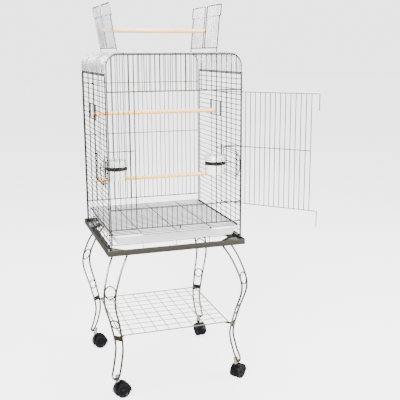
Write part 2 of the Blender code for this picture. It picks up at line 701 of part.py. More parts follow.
def feeder_door(parent, name, side):
    hinge = Vector((side * (HALF_WIDE - LAYER), FEEDER_BACK, 0))
    plane = side * FEEDER_PLANE
    low = row_height(FEEDER_ROW + FEEDER_INSET)
    high = row_height(FEEDER_ROW + FEEDER_ROWS - FEEDER_INSET)
    front = FEEDER_FRONT + FEEDER_PLAY
    back = FEEDER_BACK - ring_radius(THIN) - RUN
    loop = [(plane, front, low), (plane, back, low), (plane, back, high), (plane, front, high)]

    def arms(draft):
        for z in (low, high):
            wire(draft, [(plane, back, z), (plane, FEEDER_BACK, z)], (1, 0, 0), THIN - CLEAR)

    def rings(draft):
        for z in (low, high):
            hinge_ring(draft, hinge + Vector((0, 0, z)), "Z", ring_radius(THIN))

    def level_bars(draft):
        for row in range(1, FEEDER_ROWS):
            z = row_height(FEEDER_ROW + row)
            wire(draft, [(plane, front, z), (plane, back, z)], (1, 0, 0), BAR)

    def handle(draft):
        middle, tall = (low + high) / 2, (high - low) / 2 - 2 * THIN
        bow = []
        for step in range(HANDLE_STEPS + 1):
            angle = pi * step / HANDLE_STEPS
            bow.append((plane + side * HANDLE_OUT * sin(angle), front, middle - tall * cos(angle)))
        wire(draft, bow, (0, 1, 0), BAR)

    piece(name, "wire", parent,
          [lambda draft: wire(draft, loop, (1, 0, 0), THIN, closed=True), arms, rings, level_bars, handle],
          at=hinge)


def cup_middle(side):
    return Vector((side * (HALF_WIDE - CUP_IN), CUP_BACK, 0))


def cup_holder(parent, name, side):
    """The dark band that holds the cup, its two arms to the feeder door and the cradle below."""
    middle = cup_middle(side)
    low, high = BAND_MIDDLE - BAND_HIGH / 2, BAND_MIDDLE + BAND_HIGH / 2
    outer = BAND_INNER + BAND_THICK
    band = [(outer, low), (outer, high), (BAND_INNER, high), (BAND_INNER, low)]
    door = side * (FEEDER_PLANE - BAR / 2 - CLEAR)
    under = low - CUP_DEEP + BAND_HIGH - THIN

    def arms(draft):
        for y in (CUP_BACK - ARM_APART / 2, CUP_BACK + ARM_APART / 2):
            start = middle.x + side * (sqrt(outer ** 2 - (ARM_APART / 2) ** 2) - BAND_THICK / 2)
            wire(draft, [(start, y, BAND_MIDDLE), (door, y, BAND_MIDDLE)], (0, 0, 1), THIN)

    def cradle(draft):
        reach = (BAND_INNER + outer) / 2
        path = [(middle.x - reach, CUP_BACK, BAND_MIDDLE), (middle.x - reach, CUP_BACK, under),
                (middle.x + reach, CUP_BACK, under), (middle.x + reach, CUP_BACK, BAND_MIDDLE)]
        wire(draft, path, (0, 1, 0), BAND_THICK - CLEAR)

    def ring(draft):
        lathe(draft, middle, band, CUP_SIDES, start=pi / CUP_SIDES, closed=True)

    piece(name, "band", parent, [ring, arms, cradle])


def cup(parent, name, side):
    seat = BAND_MIDDLE + BAND_HIGH / 2 + CLEAR
    foot = seat - CUP_DEEP
    top = seat + CUP_WALL
    inside = CUP_RADIUS - CUP_WALL
    profile = [(CUP_FOOT, foot), (CUP_RADIUS, seat), (CUP_RADIUS + CUP_FLANGE, seat),
               (CUP_RADIUS + CUP_FLANGE, top), (inside, top), (CUP_FOOT - CUP_WALL, foot + CUP_WALL)]
    piece(name, "cup", parent,
          [lambda draft: lathe(draft, cup_middle(side), profile, CUP_SIDES, start=pi / CUP_SIDES)],
          smooth=True)


def cup_hood(parent, name, side):
    low = BAND_MIDDLE + BAND_HIGH / 2 + CUP_WALL + 2 * CLEAR
    outer = CUP_RADIUS + CUP_FLANGE - CLEAR
    profile = [(outer, low), (outer - HOOD_LEAN, low + HOOD_RISE),
               (outer - HOOD_LEAN - CUP_WALL, low + HOOD_RISE), (outer - CUP_WALL, low)]

    def shell(draft):
        lathe(draft, cup_middle(side), profile, CUP_SIDES, start=pi / CUP_SIDES, closed=True)

    piece(name, "hood", parent, [shell], smooth=True)


def base_frame(parent):
    """A folded frame with an upright rim, an inner ledge and a gusset under each corner."""
    profile = ((0, 0), (0, BASE_HEIGHT), (SHEET, BASE_HEIGHT), (SHEET, SHEET), (LEDGE, SHEET), (LEDGE, 0))
    corners = ((1, 1), (-1, 1), (-1, -1), (1, -1))

    def rim(draft):
        rings = []
        for sx, sy in corners:
            rings.append([(sx * (BASE_WIDE / 2 - inward), sy * (BASE_DEEP / 2 - inward), BASE_LOW + up)
                          for inward, up in profile])
        skin(draft, rings, True)

    def gussets(draft):
        for sx, sy in corners:
            x, y = BASE_WIDE / 2 - SHEET / 2, BASE_DEEP / 2 - SHEET / 2
            outline = [(sx * x, sy * y), (sx * (x - GUSSET), sy * y), (sx * x, sy * (y - GUSSET))]
            slab(draft, outline, BASE_LOW + SHEET / 10, BASE_LOW + SHEET * 0.9)

    piece("base_frame", "base", parent, [rim, gussets])


def corner_plate(parent, name, sx, sy):
    x = BASE_WIDE / 2 - SHEET - CLEAR
    y = BASE_DEEP / 2 - SHEET - CLEAR
    cut = PLATE_LEG / 4
    outline = [(sx * x, sy * y), (sx * (x - PLATE_LEG), sy * y), (sx * (x - PLATE_LEG), sy * (y - cut)),
               (sx * (x - cut), sy * (y - PLATE_LEG)), (sx * x, sy * (y - PLATE_LEG))]
    piece(name, "plate", parent, [lambda draft: slab(draft, outline, PLATE_LOW, PLATE_LOW + PLATE)])


def reach_at(height):
    """The leg's distance from the cage's middle, on one smooth curve through the points named above."""
    points = LEG_CURVE
    slopes = []
    for i in range(len(points)):
        low, high = points[max(i - 1, 0)], points[min(i + 1, len(points) - 1)]
        slopes.append((high[1] - low[1]) / (high[0] - low[0]))
    for i in range(len(points) - 1):
        (z0, r0), (z1, r1) = points[i], points[i + 1]
        if height <= z1 or i == len(points) - 2:
            span = z1 - z0
            t = (height - z0) / span
            t2, t3 = t * t, t * t * t
            return ((2 * t3 - 3 * t2 + 1) * r0 + (t3 - 2 * t2 + t) * span * slopes[i]
                    + (3 * t2 - 2 * t3) * r1 + (t3 - t2) * span * slopes[i + 1])


def spread_at(height):
    """Half the distance between a leg's two rods."""
    share = max(height - ANKLE, 0) / (LEG_TOP - ANKLE)
    return ANKLE_SPREAD + (TOP_SPREAD - ANKLE_SPREAD) * share


def down_at(height):
    """The rods' direction downwards, in the leg's own plane."""
    step = 0.001
    low, high = max(height - step, HEEL), min(height + step, LEG_TOP)
    run = Vector((reach_at(low) - reach_at(high), 0, low - high))
    return run.normalized()


def leg_stations():
    """Points down one rod, round the heel and up the other, each with the rods' direction there."""
    down = []
    for step in range(LEG_STEPS + 1):
        height = LEG_TOP + (HEEL - LEG_TOP) * step / LEG_STEPS
        down.append((Vector((reach_at(height), spread_at(height), height)), down_at(height)))
    heel = []
    middle, way = Vector((reach_at(HEEL), 0, HEEL)), down_at(HEEL)
    for step in range(1, HEEL_STEPS):
        angle = pi * step / HEEL_STEPS
        point = middle + ANKLE_SPREAD * (Vector((0, cos(angle), 0)) + way * sin(angle))
        heel.append((point, way))
    up = [(Vector((point.x, -point.y, point.z)), way) for point, way in reversed(down)]
    return down + heel + up


def leg_rods(draft):
    stations = leg_stations()
    rings = []
    for i, (point, way) in enumerate(stations):
        before = stations[max(i - 1, 0)][0]
        after = stations[min(i + 1, len(stations) - 1)][0]
        along = (after - before).normalized()
        out = Vector((0, 1, 0)).cross(way).normalized()
        side = along.cross(out).normalized()
        turns = [2 * pi * k / ROD_SIDES for k in range(ROD_SIDES)]
        rings.append([point + ROD_RADIUS * (out * cos(turn) + side * sin(turn)) for turn in turns])
    for ring in (rings[0], rings[-1]):
        for point in ring:
            point.z = LEG_TOP
    skin(draft, rings, False)


def scroll_ring(draft, height):
    """A ring between a leg's rods, sunk a little into both."""
    middle = Vector((reach_at(height), 0, height))
    way = down_at(height)
    across = Vector((0, 1, 0))
    radius = (spread_at(height) - ROD_RADIUS / 2) / cos(pi / SCROLL_SIDES)
    points = []
    for k in range(SCROLL_SIDES):
        angle = 2 * pi * (k + 0.5) / SCROLL_SIDES
        points.append(middle + radius * (across * cos(angle) + way * sin(angle)))
    wire(draft, points, across.cross(way), SCROLL_WIRE, closed=True)


def leg_clamp(draft):
    """The plate between the rods and its tongue under the shelf's corner."""
    reach, spread = reach_at(SHELF_HEIGHT), spread_at(SHELF_HEIGHT)
    low = SHELF_HEIGHT - CLAMP_HIGH / 2
    box(draft, (reach - CLAMP_THICK / 2, -spread, low), (reach + CLAMP_THICK / 2, spread, low + CLAMP_HIGH))


def leg_tongue(draft):
    reach = reach_at(SHELF_HEIGHT)
    start = SHELF_HALF * sqrt(2) - TONGUE_UNDER
    high = SHELF_HEIGHT - FRAME / 2 - CLEAR
    box(draft, (start, -TONGUE_WIDE / 2, high - SHEET), (reach, TONGUE_WIDE / 2, high))


def socket_bore():
    """Corner radius of the socket's bore, so that the stem turns freely inside its flat sides."""
    return (STEM_RADIUS + CLEAR) / cos(pi / STEM_SIDES)


def leg_socket(draft):
    bore = socket_bore()
    outer = bore + SOCKET_WALL
    high = SOCKET_LOW + SOCKET_TALL
    lathe(draft, (STEM_REACH, 0, 0), [(outer, SOCKET_LOW), (outer, high), (bore, high), (bore, SOCKET_LOW)],
          STEM_SIDES, closed=True)


def leg_bridge(draft):
    """The lug from the socket to the heel of the rods."""
    heel = Vector((reach_at(HEEL), 0, HEEL)) + down_at(HEEL) * ANKLE_SPREAD
    inner = STEM_REACH + socket_bore() + SOCKET_WALL / 2
    half = ROD_RADIUS + CLEAR
    box(draft, (inner, -2 * half, heel.z - half), (heel.x, 2 * half, heel.z + half))


def leg(parent, name, angle):
    """A cabriole leg, drawn along +X and turned to its corner."""
    piece(name, "leg", parent,
          [leg_rods, lambda draft: scroll_ring(draft, RING_HIGH), lambda draft: scroll_ring(draft, RING_LOW),
           leg_clamp, leg_tongue, leg_socket, leg_bridge],
          turn=(0, 0, angle), smooth=True)


def lower_shelf(parent):
    h = SHELF_HALF
    loop = [(-h, -h, SHELF_HEIGHT), (h, -h, SHELF_HEIGHT), (h, h, SHELF_HEIGHT), (-h, h, SHELF_HEIGHT)]
    cell = 2 * SHELF_HALF / SHELF_CELLS
    places = [-SHELF_HALF + number * cell for number in range(1, SHELF_CELLS)]

    def along(draft):
        for x in places:
            ends = [(x, -h, SHELF_HEIGHT - LAYER), (x, h, SHELF_HEIGHT - LAYER)]
            wire(draft, ends, (0, 0, 1), BAR)

    def across(draft):
        for y in places:
            ends = [(-h, y, SHELF_HEIGHT + LAYER), (h, y, SHELF_HEIGHT + LAYER)]
            wire(draft, ends, (0, 0, 1), BAR)

    piece("lower_shelf", "shelf", parent,
          [lambda draft: wire(draft, loop, (0, 0, 1), FRAME, closed=True), along, across])


def caster(parent, corner, angle):
    """A swivelling hood on its stem, with a wheel on each side of the web."""
    place = (STEM_REACH * cos(angle), STEM_REACH * sin(angle), 0)
    swivel = empty(f"{corner}_swivel", parent, place, (0, 0, radians(CASTER_TURNS[corner])))
    axle = Vector((TRAIL, 0, WHEEL_RADIUS))
    inner = WHEEL_RADIUS / cos(pi / WHEEL_SIDES) + HOOD_GAP
    outer = inner + HOOD_WALL
    half = WEB / 2 + CLEAR + WHEEL_WIDE + CLEAR
    start, end = radians(HOOD_FRONT), radians(HOOD_REAR)
    angles = [start + (end - start) * step / HOOD_STEPS for step in range(HOOD_STEPS + 1)]

    def hood(draft):
        outline = [(TRAIL + outer * cos(a), WHEEL_RADIUS + outer * sin(a)) for a in angles]
        outline += [(TRAIL + inner * cos(a), WHEEL_RADIUS + inner * sin(a)) for a in reversed(angles)]
        slab(draft, outline, -half, half, "Y")

    def web(draft):
        edge = (inner + outer) / 2
        outline = [(TRAIL + edge * cos(a), WHEEL_RADIUS + edge * sin(a)) for a in angles]
        slab(draft, outline, -WEB / 2, WEB / 2, "Y")

    def axle_pin(draft):
        lathe(draft, axle, [(AXLE_RADIUS, -half), (AXLE_RADIUS, half)], 8, "Y", start=pi / 8)

    def neck(draft):
        thick = WEB / 2 - CLEAR
        box(draft, (-BOSS_RADIUS, -thick, WHEEL_RADIUS), (BOSS_RADIUS, thick, BOSS_LOW + SHEET))

    def stem(draft):
        profile = [(BOSS_RADIUS, BOSS_LOW), (BOSS_RADIUS, SOCKET_LOW - CLEAR),
                   (STEM_RADIUS, SOCKET_LOW - CLEAR), (STEM_RADIUS, STEM_TOP)]
        lathe(draft, (0, 0, 0), profile, STEM_SIDES)

    piece(f"{corner}_caster_hood", "black", swivel, [hood, web, axle_pin, neck, stem], smooth=True)
    bore = AXLE_RADIUS + CLEAR
    rim = WHEEL_RADIUS / cos(pi / WHEEL_SIDES)
    for side, label in ((-1, "a"), (1, "b")):
        near, far = side * (WEB / 2 + CLEAR), side * (WEB / 2 + CLEAR + WHEEL_WIDE)
        profile = [(bore, near), (rim, near), (rim, far - side * WHEEL_CHAMFER),
                   (rim - WHEEL_CHAMFER, far), (bore, far)]

        def wheel(draft, profile=profile):
            lathe(draft, axle, profile, WHEEL_SIDES, "Y", start=pi / WHEEL_SIDES - pi / 2, closed=True)

        piece(f"{corner}_wheel_{label}", "black", swivel, [wheel], at=axle, smooth=True)


def tray_rack(parent):
    """The flat wire rack that the tray slides on, between the rails on the base's ledge."""
    half_wide = RACK_SIDE - THIN / 2 - CLEAR
    half_deep = RACK_END - THIN / 2 - CLEAR
    side = THIN - CLEAR

    def cross_wires(draft):
        for y in (-RACK_CROSS, 0, RACK_CROSS):
            wire(draft, [(-half_wide, y, RACK_HEIGHT), (half_wide, y, RACK_HEIGHT)], (0, 0, 1), side)

    def stays(draft):
        for x in (-RACK_FOOT, RACK_FOOT):
            ends = [(x, -half_deep, RACK_HEIGHT), (x, half_deep, RACK_HEIGHT)]
            wire(draft, ends, (0, 0, 1), side - CLEAR)

    piece("tray_rack", "wire", parent, [cross_wires, stays])


def rail_feet(draft, places, top, at, normal):
    """Short uprights from the base's ledge to the given height, at the given points of a rail."""
    foot = LEDGE_TOP + CLEAR
    for place in places:
        x, y = at(place)
        wire(draft, [(x, y, foot), (x, y, top)], normal, THIN - CLEAR)


def side_rail(parent, name, side):
    """An upright wire frame beside the tray, with the rack at its lower wire."""
    x = side * RACK_SIDE
    places = (-RACK_FOOT, 0, RACK_FOOT)

    def wire_at(draft, z):
        wire(draft, [(x, -RACK_END, z), (x, RACK_END, z)], (1, 0, 0), THIN)

    piece(name, "wire", parent,
          [lambda draft: wire_at(draft, RACK_HEIGHT), lambda draft: wire_at(draft, RAIL_HEIGHT),
           lambda draft: rail_feet(draft, places, RAIL_HEIGHT, lambda y: (x, y), (1, 0, 0))])


def end_rail(parent, name, side):
    """The low wire in front of the rack or behind it, on its own feet."""
    y = side * RACK_END
    reach = RACK_SIDE - THIN / 2 - CLEAR
    places = (-RACK_FOOT, 0, RACK_FOOT)
    ends = [(-reach, y, RACK_HEIGHT), (reach, y, RACK_HEIGHT)]
    piece(name, "wire", parent,
          [lambda draft: wire(draft, ends, (0, 1, 0), THIN),
           lambda draft: rail_feet(draft, places, RACK_HEIGHT, lambda x: (x, y), (0, 1, 0))])


def tray(parent):
    """A shallow pan with leaning sides."""
    half = RACK_SIDE - THIN / 2 - RUN
    front = -(HALF_DEEP + TRAY_FRONT)
    lean, wall = TRAY_SLOPE, TRAY_WALL

    def loop(inward, z):
        x, y0, y1 = half - inward, front + inward, TRAY_BACK - inward
        return [(-x, y0, z), (x, y0, z), (x, y1, z), (-x, y1, z)]

    def pan(draft):
        skin(draft, [loop(lean, TRAY_LOW), loop(0, TRAY_HIGH), loop(wall, TRAY_HIGH),
                     loop(lean + wall, TRAY_LOW + wall)], False)

    piece("tray", "tray", parent, [pan])


def grate(parent):
    half = RACK_SIDE - CLEAR
    loop = [(-half, -GRATE_FRONT, GRATE_HEIGHT), (half, -GRATE_FRONT, GRATE_HEIGHT),
            (half, TRAY_BACK, GRATE_HEIGHT), (-half, TRAY_BACK, GRATE_HEIGHT)]
    gap = (GRATE_FRONT + TRAY_BACK) / (GRATE_BARS + 1)
    fine = BAR - 2 * CLEAR

    def cross_bars(draft):
        for number in range(1, GRATE_BARS + 1):
            y = -GRATE_FRONT + number * gap
            wire(draft, [(-half, y, GRATE_HEIGHT), (half, y, GRATE_HEIGHT)], (0, 0, 1), fine)

    def stays(draft):
        low = GRATE_HEIGHT - fine / 2 - CLEAR / 3 - fine / 4
        for place in (-GRATE_STAY, 0, GRATE_STAY):
            wire(draft, [(place, -GRATE_FRONT, low), (place, TRAY_BACK, low)], (0, 0, 1), fine / 2)

    piece("grate", "wire", parent,
          [lambda draft: wire(draft, loop, (0, 0, 1), THIN, closed=True), cross_bars, stays])


def tray_latch(parent):
    """A small drop latch on a ring round the front panel's lowest wire."""
    x = PITCH / 2
    hinge = Vector((x, -HALF_DEEP, FRONT_LOW))
    radius = ring_radius(FRAME)
    front = -HALF_DEEP - radius

    def tongue(draft):
        thick = RING_WIRE / 2
        box(draft, (x - LATCH_WIDE / 2, front - thick, FRONT_LOW - LATCH_DROP),
            (x + LATCH_WIDE / 2, front + thick, FRONT_LOW + RING_WIRE))

    piece("tray_latch", "wire", parent,
          [lambda draft: hinge_ring(draft, hinge, "X", radius), tongue], at=hinge)


def cage_middle():
    """Where the cage's centre goes, so that the whole object's box stands over the world origin."""
    heights = [LEG_TOP + (HEEL - LEG_TOP) * step / LEG_STEPS for step in range(LEG_STEPS + 1)]
    leg_out = max(reach_at(z) + spread_at(z) for z in heights) / sqrt(2) + ROD_RADIUS
    swing = radians(DOOR_OPEN)
    tip = DOOR_LONG + THIN / 2
    door_x = DOOR_X - tip * cos(swing) + (DOOR_AWAY + THIN / 2) * sin(swing)
    door_y = -HALF_DEEP - tip * sin(swing) - (DOOR_AWAY - THIN / 2) * cos(swing)
    return (-(door_x - leg_out) / 2, -(door_y + leg_out) / 2, 0)


def build():
    clear_scene()
    cage = empty("cage_centre", None, cage_middle())
    corners = {"front_left": (-1, -1), "front_right": (1, -1), "back_left": (-1, 1), "back_right": (1, 1)}
    base_frame(cage)
    for corner, (sx, sy) in corners.items():
        angle = {(1, 1): pi / 4, (-1, 1): 3 * pi / 4, (-1, -1): -3 * pi / 4, (1, -1): -pi / 4}[sx, sy]
        corner_plate(cage, f"{corner}_corner_plate", sx, sy)
        leg(cage, f"{corner}_leg", angle)
        caster(cage, corner, angle)
    lower_shelf(cage)
    tray_rack(cage)
    tray(cage)
    grate(cage)
    front_panel(cage)
    back_panel(cage)
    roof(cage)
    tray_latch(cage)
    play_perch(cage)
    inner_perch(cage, "upper_perch", PERCH_UP_BACK, PERCH_UP)
    inner_perch(cage, "lower_perch", PERCH_LOW_BACK, PERCH_LOW)
    front_door(cage)
    for label, side, opened in (("left", -1, FLAP_LEFT_OPEN), ("right", 1, FLAP_RIGHT_OPEN)):
        side_wall(cage, f"{label}_wall", side)
        flap(cage, f"{label}_flap", side, opened)
        perch_bracket(cage, f"{label}_perch_bracket", side)
        feeder_door(cage, f"{label}_feeder_door", side)
        cup_holder(cage, f"{label}_cup_holder", side)
        cup(cage, f"{label}_cup", side)
        cup_hood(cage, f"{label}_cup_hood", side)
        side_rail(cage, f"{label}_tray_rail", side)
    end_rail(cage, "front_tray_rail", -1)
    end_rail(cage, "back_tray_rail", 1)


build()
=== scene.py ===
"""Looks of the play top bird cage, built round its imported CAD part.

Lengths are in metres. Points are written in the cage's own frame, as in the part's source: zero
is the floor under the cage's centre, +X is right, +Y is back and +Z is up. CAGE is where that
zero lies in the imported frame. Every CAD node is replaced by a finer piece in the same place.
"""

from math import cos, pi, radians, sin, sqrt, tan

import bmesh
import bpy
from mathutils import Euler, Matrix, Vector


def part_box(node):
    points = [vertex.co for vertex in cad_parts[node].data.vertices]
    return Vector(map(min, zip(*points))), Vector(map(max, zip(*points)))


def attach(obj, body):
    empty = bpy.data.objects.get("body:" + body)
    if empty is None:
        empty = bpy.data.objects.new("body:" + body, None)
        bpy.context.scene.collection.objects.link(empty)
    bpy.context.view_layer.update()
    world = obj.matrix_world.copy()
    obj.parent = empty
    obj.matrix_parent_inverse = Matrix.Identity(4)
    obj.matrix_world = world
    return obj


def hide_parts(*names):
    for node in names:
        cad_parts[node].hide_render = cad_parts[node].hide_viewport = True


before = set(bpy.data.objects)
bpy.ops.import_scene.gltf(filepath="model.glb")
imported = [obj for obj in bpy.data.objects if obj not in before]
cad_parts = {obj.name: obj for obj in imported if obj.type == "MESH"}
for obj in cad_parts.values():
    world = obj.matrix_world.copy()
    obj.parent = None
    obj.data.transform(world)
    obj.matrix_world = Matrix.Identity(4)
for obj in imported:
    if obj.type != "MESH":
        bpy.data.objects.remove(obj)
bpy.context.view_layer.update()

# Wire sizes
FRAME = 0.0044            # thickness of a panel's outer wires
EDGE = 0.0042             # uprights beside the front doorway
THIN = 0.0030             # frames of the small doors, the rack and the grate
BAR = 0.0030              # filling bars, thick enough to meet where they cross
SQUARE_BAR = 0.0019       # side of the same bars in the part
CLEAR = 0.0003            # gap between pieces that touch
RUN = 0.0005              # gap beside a piece that moves
RING_WIRE = 0.0020        # wire of the hinge rings
LAYER = (SQUARE_BAR + CLEAR) / 2      # how far crossing bars lie off the plane between them
WELD = 0.0016             # radius of a weld bead
WELD_OUT = FRAME * 0.3    # how far the front panel's welds stand forward
WIRE_BEND = 0.006         # radius of a frame wire's bends, along its middle
SMALL_BEND = 0.003
BEND_SHARE = 0.48         # most of a side that one bend takes up
BEND_POINTS = 5

# Softened edges
ROUND_SHARE = 0.3         # how far a rounded edge's middle point stands in, as a share of its radius
FOLD_EASE = 0.0010        # base rim and shelf clamps
PLATE_EASE = 0.0005
FINE_EASE = 0.0004        # gussets and the latch's tongue
LUG_EASE = 0.0014
CREASE = 30               # degrees from which an edge is eased
SHARP = 40                # degrees from which an edge is shaded as sharp

# Cage body
CAGE_WIDE = 0.508
CAGE_DEEP = 0.508
GAPS_ACROSS = 26          # gaps between the upright bars of the front and back panels
WALL_LOW = 0.600          # lowest and highest level wires of the side walls
WALL_HIGH = 1.2118
WALL_GAPS = 32
FRONT_LOW = 0.660         # lowest level wires of the front and back panels
BACK_LOW = 0.669
BACK_STAYS = (0.953, 1.166)
DOORWAY_LOW = 0.735
DOORWAY_HIGH = 1.156
STRIP_STAY = 0.947        # level wire across the bars on both sides of the doorway
DOORWAY_FIRST, DOORWAY_LAST = 5, 21       # bars at the doorway's edges
ROOF_TOP = 1.288
ROOF_BEND = 0.045
ROOF_WIRES = 26
BEND_STEPS = 8            # points round one shoulder of the roof

# Base frame and stand
BASE_WIDE = 0.532
BASE_DEEP = 0.536
BASE_HEIGHT = 0.022
SHEET = 0.003             # thickness of the base frame's metal
LEDGE = 0.030
GUSSET = 0.140
GUSSET_IN = SHEET / 10    # how far the gussets lie inside the ledge's thickness
PLATE_LEG = 0.085         # a corner plate's length along the base frame
PLATE = 0.002
PLATE_BOLTS = ((0.62, 0.14), (0.14, 0.62), (0.30, 0.30))     # places, as shares of a plate's leg
BOLT_RADIUS = 0.0042
BOLT_RISE = 0.0022
BOLT_SEAT = PLATE * 0.9   # height of a screw head's foot above the plate's underside
BOLT_DOME = ((1, 0), (1, 0.3), (0.8, 0.75), (0.45, 1), (0.12, 1))    # shares of its radius and rise
ROD = 0.0072              # thickness of a leg's rods
ROD_RADIUS = 0.0037       # corner radius of the same rods in the part
LEG_STEPS = 40
LEG_TOP, TOP_REACH = 0.5677, 0.290        # height, and distance from the cage's middle
HEEL, HEEL_REACH = 0.094, 0.3505
ANKLE = 0.200             # height below which the two rods run side by side
LEG_CURVE = (
    (HEEL, HEEL_REACH), (0.130, 0.3360), (ANKLE, 0.3215), (0.290, 0.3430),
    (0.400, 0.3755), (0.500, 0.3395), (LEG_TOP, TOP_REACH),
)
TOP_SPREAD = 0.031        # half the distance between the rods, at the top and from the ankle down
ANKLE_SPREAD = 0.016
HEEL_STEPS = 12
SCROLLS = (0.430, 0.297)  # middles of the rings between the rods
SCROLL_WIRE = 0.0046
SHELF_HEIGHT = 0.238
SHELF_HALF = 0.21701      # half a side of the lower shelf
SHELF_CELLS = 9
CLAMP_HIGH = 0.024
CLAMP_LOWER = 0.5         # share of the clamp's height that lies below the shelf
CLAMP_SHOWN = 0.75        # share of the clamp's height that is drawn
CLAMP_SIDE = ROD * 0.4    # how far the clamp ends inside the rods' middles
CLAMP_THICK = 0.006
RIVET_DOME = ((0.0030, 0), (0.0028, 0.0008), (0.0016, 0.0016), (0.0004, 0.0018))     # radius, rise
RIVET_IN = 0.45           # a rivet's places, as shares of the clamp's thickness and the rods' spread
TONGUE_WIDE = 0.014
TONGUE_UNDER = 0.014

# Casters
STEM_REACH = 0.3405       # distance of a stem from the cage's middle
STEM_RADIUS = 0.0045
STEM_TOP = 0.090
SOCKET_BORE = 0.0050
SOCKET_WALL = 0.0035
SOCKET_LOW = 0.0655
SOCKET_TALL = 0.026
SOCKET_EASE = 0.0008
SOCKET_LIP = 0.0006
SOCKET_WAIST = 0.0010     # how far the socket's middle is turned down between its two collars
COLLAR_TALL, WAIST_FROM = 0.006, 0.007
TRAIL = 0.018             # how far the wheels' axle lies behind the stem
WHEEL_RADIUS = 0.0275
WHEEL_WIDE = 0.0165
WEB = 0.006               # thickness of the hood's middle wall
HOOD_GAP = 0.0018
HOOD_WALL = 0.0026
HOOD_SOFT = HOOD_WALL * 0.6
HOOD_FROM, HOOD_TO = -12, 205         # degrees round the wheel
HOOD_STEPS = 32
BOSS_RADIUS = 0.0080
BOSS_LOW = 0.0575
TURNED_EASE = 0.001       # collar and stem
STEM_SUNK = 0.0005        # how far the stem starts inside the collar
TREAD_NEAR = ((0.0060, 0.0), (0.0012, 0.0), (0.0, 0.0012))       # in from the radius, in from the near face
TREAD_GROOVE = ((0.0, -0.0008), (0.0006, 0.0), (0.0, 0.0008))    # in from the radius, along from the middle
TREAD_FAR = ((0.0, 0.0024), (0.0008, 0.0008), (0.0026, 0.0), (0.0060, 0.0004))    # in from the far face
DISC_BORE = 0.0036
DISC_IN = 0.0004          # how far the disc starts inside the wheel's near face
DISC_RIM = ((0.0062, 0.0006), (0.0074, 0.0002), (0.0084, 0.0012), (0.0100, 0.0030))      # as the tread
DISC_HUB = ((0.0080, 0.0034), (0.0066, 0.0012), (0.0056, 0.0004), (DISC_BORE, 0.0004))   # radius, in
AXLE_IN = 0.002           # how far the axle's end starts inside the web's side of the wheel
AXLE_END = ((0.0030, -0.0006), (0.0022, 0.0002), (0.0006, 0.0003))       # radius, out past the far face
CASTER_TURNS = {"front_left": 12, "front_right": 35, "back_left": 5, "back_right": -85}      # degrees

# Tray, rack and grate
RACK_HEIGHT = 0.602
RACK_HALF = 0.2425
RACK_FOOT = 0.130         # places of the rack's lengthways and crossways wires
RACK_CROSS = 0.100
TRAY_DEEP = 0.034
TRAY_WALL = 0.0025
TRAY_SLOPE = 0.014        # how much the sides lean inwards on their way down
TRAY_FRONT = 0.0015       # how far the tray stands in front of the cage
TRAY_BACK = 0.238
TRAY_CORNER = 0.016
TRAY_CORNER_LEAST = 0.004
TRAY_CORNER_STEPS = 6
TRAY_FOOT = ((0.005, 0.0), (0.0018, 0.0006), (0.0, 0.003))               # in past the slope, up
TRAY_RIM = ((0.0022, 0.0045), (0.0010, 0.0036), (0.0, 0.0026), (0.0, 0.0008), (0.0008, 0.0))     # in, down
TRAY_LIP = ((-0.0002, 0.0), (0.0008, 0.0010))                            # in past the wall, down
TRAY_INSIDE = ((-0.0006, 0.003), (0.0012, 0.0006), (0.005, 0.0))         # in past the wall, up
GRATE_BAR = BAR - CLEAR
STAY_DROP = GRATE_BAR * 0.8           # how far the grate's stays lie under its bars
GRATE_BARS = 24
GRATE_STAY = 0.135
GRATE_FRONT = 0.250
PULL_HALF, PULL_FRONT = 0.130, 0.2650     # wire loop in front of the grate, to draw it out
LATCH_DROP = 0.0095
LATCH_WIDE = 0.0060

# Roof flaps and play perch
FLAP_HINGE = 0.1865       # distance of a hinge line from the roof's middle
FLAP_LONG = 0.176
FLAP_RISE = 0.0012
FLAP_FOOT = 0.018         # where the flap's bars start, out from its hinge line
FLAP_GAPS = 8             # gaps between roof wires in half of a flap's width
LIP_NECK = 0.136          # where the flap widens into its lip
LIP_BULGE = 0.012
LIP_ROUND = 0.007
FLAP_BARS = 7
FLAP_OPEN = {"left": 98.5, "right": 95.0}     # degrees open in the photograph
PERCH_RADIUS = 0.0075
SLOT_PLAY = 0.0008
PLAY_PERCH_RISE = 0.083
PLAY_PERCH_OVER = 0.008

# Inner perches and their brackets
PERCHES = {"upper_perch": (0.037, 1.058), "lower_perch": (0.070, 0.790)}      # how far back, height
WINDOW_ROW, WINDOW_ROWS = 23, 3           # first row of a wall's window, and its rows
SEAT_ROUND = 0.8          # bend of a bracket's seat, as a share of its half width
DOWEL_EASE = 0.0016
GROOVE_HALF = 0.0020
GROOVE_DEEP = 0.0006
GROOVE_IN = 0.012         # how far from a dowel's end its groove lies

# Front door
DOOR_HINGE = 22           # bar that the door's rings go round
DOOR_GAPS = 18
DOOR_LOWER = 0.006        # how far the door's level wires stand inside the doorway's
DOOR_STAY = 0.953
DOOR_OPEN = 133.0         # degrees open in the photograph
HOOK_OUT = 0.028
HOOK_DOWN = 0.058

